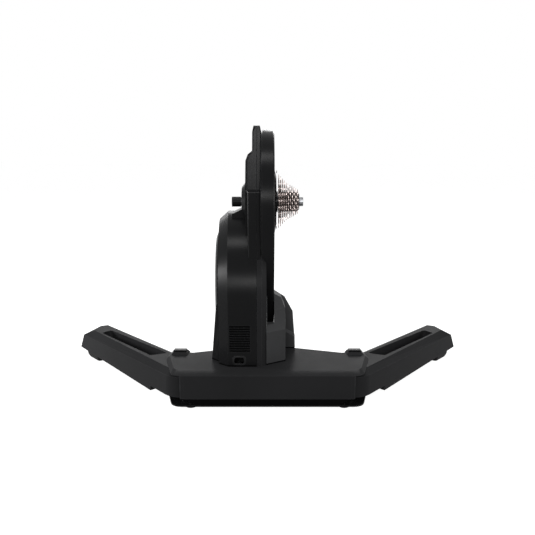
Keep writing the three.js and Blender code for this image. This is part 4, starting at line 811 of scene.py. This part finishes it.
# Rear block of the spine, seated on the housing: an upright face to the knee, then a slope to the crown
spineBlock = {
    "chamfer": 1.9, "grooveAt": -20.3, "grooveHalf": 0.35, "grooveDepth": 0.9, "leastDepth": 0.3,
    "rounding": 0.5, "roundFrom": 24,
    # height, left side, right side, rear face, front face
    "levels": [
        (262.0, -36.6, -12.2, 58.0, 64.0), (271.0, -36.6, -12.2, 58.0, 64.0),
        (285.0, -36.6, -12.2, 58.0, 69.0), (300.0, -36.6, -12.2, 58.0, 81.0),
        (314.0, -36.7, -12.2, 58.0, 94.0), (395.0, -36.9, -12.2, 58.0, 94.0),
        (399.0, -38.0, -12.2, 59.4, 94.2), (402.0, -38.5, -12.2, 61.6, 95.5),
        (452.0, -39.5, -12.2, 99.7, 119.0), (461.5, -35.4, -12.2, 106.9, 124.0),
        (470.0, -28.7, -12.2, 113.4, 129.5), (506.0, -28.7, -12.2, 140.8, 146.5),
        (516.6, -24.4, -14.6, 148.6, 151.0),
    ],
}


def spineSolid(builder):
    piece = spineBlock
    chamfer, seam, half = piece["chamfer"], piece["grooveAt"], piece["grooveHalf"]
    rings = []
    for height, left, right, rear, front in piece["levels"]:
        back = max(front, rear + chamfer + piece["leastDepth"])
        corners = [
            (left, rear + chamfer), (left + chamfer, rear), (seam - half, rear),
            (seam, rear + piece["grooveDepth"]), (seam + half, rear), (right - chamfer, rear),
            (right, rear + chamfer), (right, back), (left, back),
        ]
        rings.append([(x, forward, height) for x, forward in corners])
    loft(builder, rings)


spine = makeObject("spine_block", meshFrom("spine_block", spineSolid), "blackMoulding", "base")
addRounding(spine, spineBlock["rounding"], spineBlock["roundFrom"])

# Vent grille with open slots over a near-black sheet, painted shade inside the housing
vent = {
    "left": -73.2, "right": -30.8, "bottom": 99.2, "top": 152.8, "rear": 36.2, "front": 39.0,
    "slots": 11, "border": 1.8, "bar": 1.5, "shadeSheet": 0.8, "overrun": 2.0, "rounding": 0.25,
}


def ventPlate(builder):
    block(builder, vent["left"], vent["right"], vent["rear"], vent["front"], vent["bottom"], vent["top"])


def ventSlots(builder):
    border, bar = vent["border"], vent["bar"]
    left, right = vent["left"] + border, vent["right"] - border
    rear, front = vent["rear"] - vent["overrun"], vent["front"] + vent["overrun"]
    pitch = (vent["top"] - vent["bottom"] - 2 * border + bar) / vent["slots"]
    for k in range(vent["slots"]):
        low = vent["bottom"] + border + k * pitch
        block(builder, left, right, rear, front, low, low + pitch - bar)


def ventShadeSheetPlate(builder):
    front = vent["front"] + vent["shadeSheet"]
    block(builder, vent["left"], vent["right"], vent["front"], front, vent["bottom"], vent["top"])


grilleMesh = combined("vent_bars", "DIFFERENCE", meshFrom("plate", ventPlate), meshFrom("slots", ventSlots))
grille = makeObject("vent_bars", grilleMesh, "blackMoulding", "base")
addRounding(grille, vent["rounding"])
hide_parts("vent_grille")
# the sheet behind the slots is painted shade
ventShadeSheet = makeObject("vent_shade_sheet", meshFrom("vent_shade_sheet", ventShadeSheetPlate), "paintedShade", "base")

# Power inlet: a rim round a deep mouth with three blades; the floor of the mouth is near-black, painted shade
inlet = {
    "centre": -53.0, "height": 84.0, "rear": 35.4, "front": 37.6, "depth": 50.0, "rounding": 0.35,
    "rimHalfWidth": 12.6, "rimHalfTall": 9.2, "rimCorner": 3.6,
    "mouthHalfWidth": 9.2, "mouthHalfTall": 5.9, "mouthCorner": 2.4,
    "wall": 1.1, "sleeveGap": 0.02, "floorLap": 0.4, "floorInside": 1.0, "floorOutside": 0.6,
    "blades": [(-4.6, -0.6), (4.6, -0.6), (0.0, 2.2)],
    "bladeHalfWidth": 0.75, "bladeHalfTall": 1.7, "bladeRear": 39.0, "bladeRounding": 0.2,
}


def inletOutline(part, extra=0.0):
    # a rectangle with cut corners, for the rim or the mouth, made wider by extra
    wide, tall = inlet[f"{part}HalfWidth"] + extra, inlet[f"{part}HalfTall"] + extra
    cut = inlet[f"{part}Corner"]
    upper = [(wide, tall - cut), (wide - cut, tall), (cut - wide, tall), (-wide, tall - cut)]
    lower = [(-x, -z) for x, z in upper]
    return [(inlet["centre"] + x, inlet["height"] + z) for x, z in upper + lower]


def addTube(builder, outer, inner, rear, front):
    # the outer and the inner wall, closed at both ends
    walls = []
    for outline in (outer, inner):
        ends = [[builder.verts.new(fromRear(x, forward, z)) for x, z in outline] for forward in (rear, front)]
        bridgeLoops(builder, *ends)
        walls.append(ends)
    for outside, inside in zip(*walls):
        bridgeLoops(builder, outside, inside)


def inletShell(builder):
    mouth, sleeve = inletOutline("mouth"), inletOutline("mouth", inlet["wall"])
    addTube(builder, inletOutline("rim"), mouth, inlet["rear"], inlet["front"])
    addTube(builder, sleeve, mouth, inlet["front"] + inlet["sleeveGap"], inlet["depth"])


def inletShadeFloor(builder):
    outline = inletOutline("mouth", inlet["floorLap"])
    ends = (inlet["depth"] - inlet["floorInside"], inlet["depth"] + inlet["floorOutside"])
    loft(builder, [[(x, forward, z) for x, z in outline] for forward in ends])


def inletBlades(builder):
    halfWidth, halfTall = inlet["bladeHalfWidth"], inlet["bladeHalfTall"]
    for right, up in inlet["blades"]:
        x, z = inlet["centre"] + right, inlet["height"] + up
        rear, front = inlet["bladeRear"], inlet["depth"]
        block(builder, x - halfWidth, x + halfWidth, rear, front, z - halfTall, z + halfTall)


# the rim's light outline is a painted highlight on its edges
inletRim = makeObject("inlet_rim", meshFrom("inlet_rim", inletShell), "inletShell", "base")
addRounding(inletRim, inlet["rounding"])
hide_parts("power_inlet")
# the floor at the back of the mouth is painted shade
inletShadeBack = makeObject("inlet_shade_floor", meshFrom("inlet_shade_floor", inletShadeFloor), "paintedShade", "base")
blades = makeObject("inlet_blades", meshFrom("inlet_blades", inletBlades), "turnedSteel", "base")
addRounding(blades, inlet["bladeRounding"])
print("spine, vent and inlet built")

# Painted shade: near-black bands on the undercut of the base, and painted shadow along the seams where the
# housings stand on it
bands = {
    "proud": 0.15, "joinWithin": 0.001, "undercutTop": 23.4, "undercutRim": 21.5,
    "facesDown": -0.1, "facesOut": 0.3, "seamBottom": 72.4, "seamTop": 74.8, "cutAbove": 0.5,
}


def weldedCopy(source):
    builder = bmesh.new()
    builder.from_mesh(source)
    bmesh.ops.remove_doubles(builder, verts=builder.verts, dist=bands["joinWithin"] * mm)
    return builder


def cutLevel(builder, height, clearAbove):
    everything = [*builder.verts, *builder.edges, *builder.faces]
    return bmesh.ops.bisect_plane(
        builder, geom=everything, plane_co=(0, 0, height * mm), plane_no=(0, 0, 1), clear_outer=clearAbove,
    )


def makeBand(name, builder, offset):
    # offset 1 puts the whole thickness outside of the faces, and 0 half of it
    band = makeObject(name, meshOf(builder, name), "paintedShade", "base")
    wall = band.modifiers.new("thickness", "SOLIDIFY")
    wall.thickness = 2 * bands["proud"] * mm
    wall.offset = offset


def inUndercut(face):
    # low on the outer side of the base, and leaning in towards the floor
    middle, normal = face.calc_center_median(), face.normal
    leans = normal.z < bands["facesDown"] and math.hypot(normal.x, normal.y) > bands["facesOut"]
    low = max(v.co.z for v in face.verts) < bands["undercutTop"] * mm
    return leans and low and normal.dot(Vector((middle.x, middle.y, 0))) > 0


# the undercut of the base gets a near-black skin: painted shade
def undercutShadeBand():
    builder = weldedCopy(nodes["base_shell"].data)
    builder.normal_update()
    others = [face for face in builder.faces if not inUndercut(face)]
    bmesh.ops.delete(builder, geom=others, context="FACES")
    # the band ends below the wall above it, so that it stays inside that wall
    cutLevel(builder, bands["undercutRim"], True)
    makeBand("base_undercut_shade", builder, 1.0)


def seamShadowBand(name, source):
    # follows the outline of a housing just above its foot, as a near-black strip of painted shadow where it
    # stands on the base
    sliced = weldedCopy(source)
    cut = cutLevel(sliced, bands["seamTop"] + bands["cutAbove"], False)["geom_cut"]
    walls = [[v.co.copy() for v in item.verts] for item in cut if isinstance(item, bmesh.types.BMEdge)]
    sliced.free()
    low, high = bands["seamBottom"] * mm, bands["seamTop"] * mm
    builder = bmesh.new()
    for a, b in walls:
        corners = [(a.x, a.y, low), (b.x, b.y, low), (b.x, b.y, high), (a.x, a.y, high)]
        builder.faces.new([builder.verts.new(corner) for corner in corners])
    bmesh.ops.remove_doubles(builder, verts=builder.verts, dist=bands["joinWithin"] * mm)
    bmesh.ops.recalc_face_normals(builder, faces=builder.faces)
    makeBand(name, builder, 0.0)


undercutShadeBand()
for name in ("left_housing", "left_fairing"):
    seamShadowBand(f"{name}_seam", nodes[name].data)
seamShadowBand("right_fairing_seam", podMesh)
print("bands built")

# Camera, fitted to the photograph; its sensor is in millimetres
photo = {
    "place": (0.0, -1.25365, 0.4795), "pitchDown": 11.1, "focalPixels": 620.0, "pixels": 535.0,
    "sensor": 36.0, "nearest": 0.01, "farthest": 100.0,
}
camera = bpy.data.cameras.new("camera")
camera.sensor_width = photo["sensor"]
camera.lens = photo["focalPixels"] / photo["pixels"] * photo["sensor"]
camera.clip_start = photo["nearest"]
camera.clip_end = photo["farthest"]
viewer = addToScene("camera", camera)
viewer.location = photo["place"]
viewer.rotation_euler = (math.radians(90 - photo["pitchDown"]), 0.0, 0.0)
bpy.context.scene.camera = viewer

# Lamps
lamps = {
    "overhead": {"place": (0.0, -0.5, 2.5), "aim": (0.0, 0.0, 0.3), "size": (1.0, 0.5), "power": 34.0},
    "behind": {"place": (0.0, -2.35, 1.0), "aim": (0.0, 0.0, 0.27), "size": (1.1, 0.4), "power": 42.0},
    "beyond": {"place": (0.0, 2.6, 1.1), "aim": (0.0, 0.0, 0.1), "size": (2.4, 0.5), "power": 16.0},
    "leftStrip": {"place": (-2.0, 0.1, 0.5), "aim": (0.0, 0.0, 0.27), "size": (0.2, 0.35), "power": 42.0},
    "rightStrip": {"place": (2.0, 0.1, 0.5), "aim": (0.0, 0.0, 0.27), "size": (0.25, 0.4), "power": 14.0},
}
for name, lamp in lamps.items():
    light = bpy.data.lights.new(name, "AREA")
    light.shape = "RECTANGLE"
    light.size, light.size_y = lamp["size"]
    light.energy = lamp["power"]
    holder = addToScene(name, light)
    holder.location = lamp["place"]
    holder.rotation_euler = (Vector(lamp["place"]) - Vector(lamp["aim"])).to_track_quat("Z", "Y").to_euler()

# Studio: a white backdrop and a pale floor
studio = {
    "ambient": 0.25, "white": (1, 1, 1, 1), "floorSize": 30.0, "floorColour": 0.4, "floorGlow": 0.86,
    "floorRoughness": 0.9, "floorSpecular": 0.1, "grainScale": 40.0, "grainShare": 0.99,
}


def seenDirectly(tree):
    # 1 for what the camera sees, also in metal and glass
    path = tree.nodes.new("ShaderNodeLightPath")
    some = maths(tree, "MAXIMUM", path.outputs["Is Camera Ray"], path.outputs["Is Glossy Ray"])
    return maths(tree, "MAXIMUM", some, path.outputs["Is Transmission Ray"])


world = bpy.data.worlds.new("studio")
world.use_nodes = True
bpy.context.scene.world = world
sky = world.node_tree
backdrop = sky.nodes["Background"]
feed(sky, backdrop.inputs["Color"], studio["white"])
brightness = spread(sky, seenDirectly(sky), studio["ambient"], 1.0, 0.0, 1.0)
feed(sky, backdrop.inputs["Strength"], brightness)


def floorFinish(name):
    material = bpy.data.materials.new(name)
    material.use_nodes = True
    tree = material.node_tree
    inputs = tree.nodes["Principled BSDF"].inputs
    point = tree.nodes.new("ShaderNodeTexCoord").outputs["Object"]
    pale = (studio["floorColour"],) * 3
    grain = noise(tree, point, studio["grainScale"])
    feed(tree, inputs["Base Color"], tinted(tree, grain, brighter(pale, studio["grainShare"]), pale))
    feed(tree, inputs["Roughness"], studio["floorRoughness"])
    feed(tree, inputs["Specular IOR Level"], studio["floorSpecular"])
    feed(tree, inputs["Emission Color"], studio["white"])
    glow = maths(tree, "MULTIPLY", seenDirectly(tree), studio["floorGlow"])
    feed(tree, inputs["Emission Strength"], glow)
    return material


floorMesh = bpy.data.meshes.new("floor")
half = studio["floorSize"] / 2
corners = [(-half, -half, 0), (half, -half, 0), (half, half, 0), (-half, half, 0)]
floorMesh.from_pydata(corners, [], [(0, 1, 2, 3)])
floorMesh.materials.append(floorFinish("paleFloor"))
floor = addToScene("floor", floorMesh)
bpy.context.scene.view_settings.view_transform = "Standard"
print("studio ready")
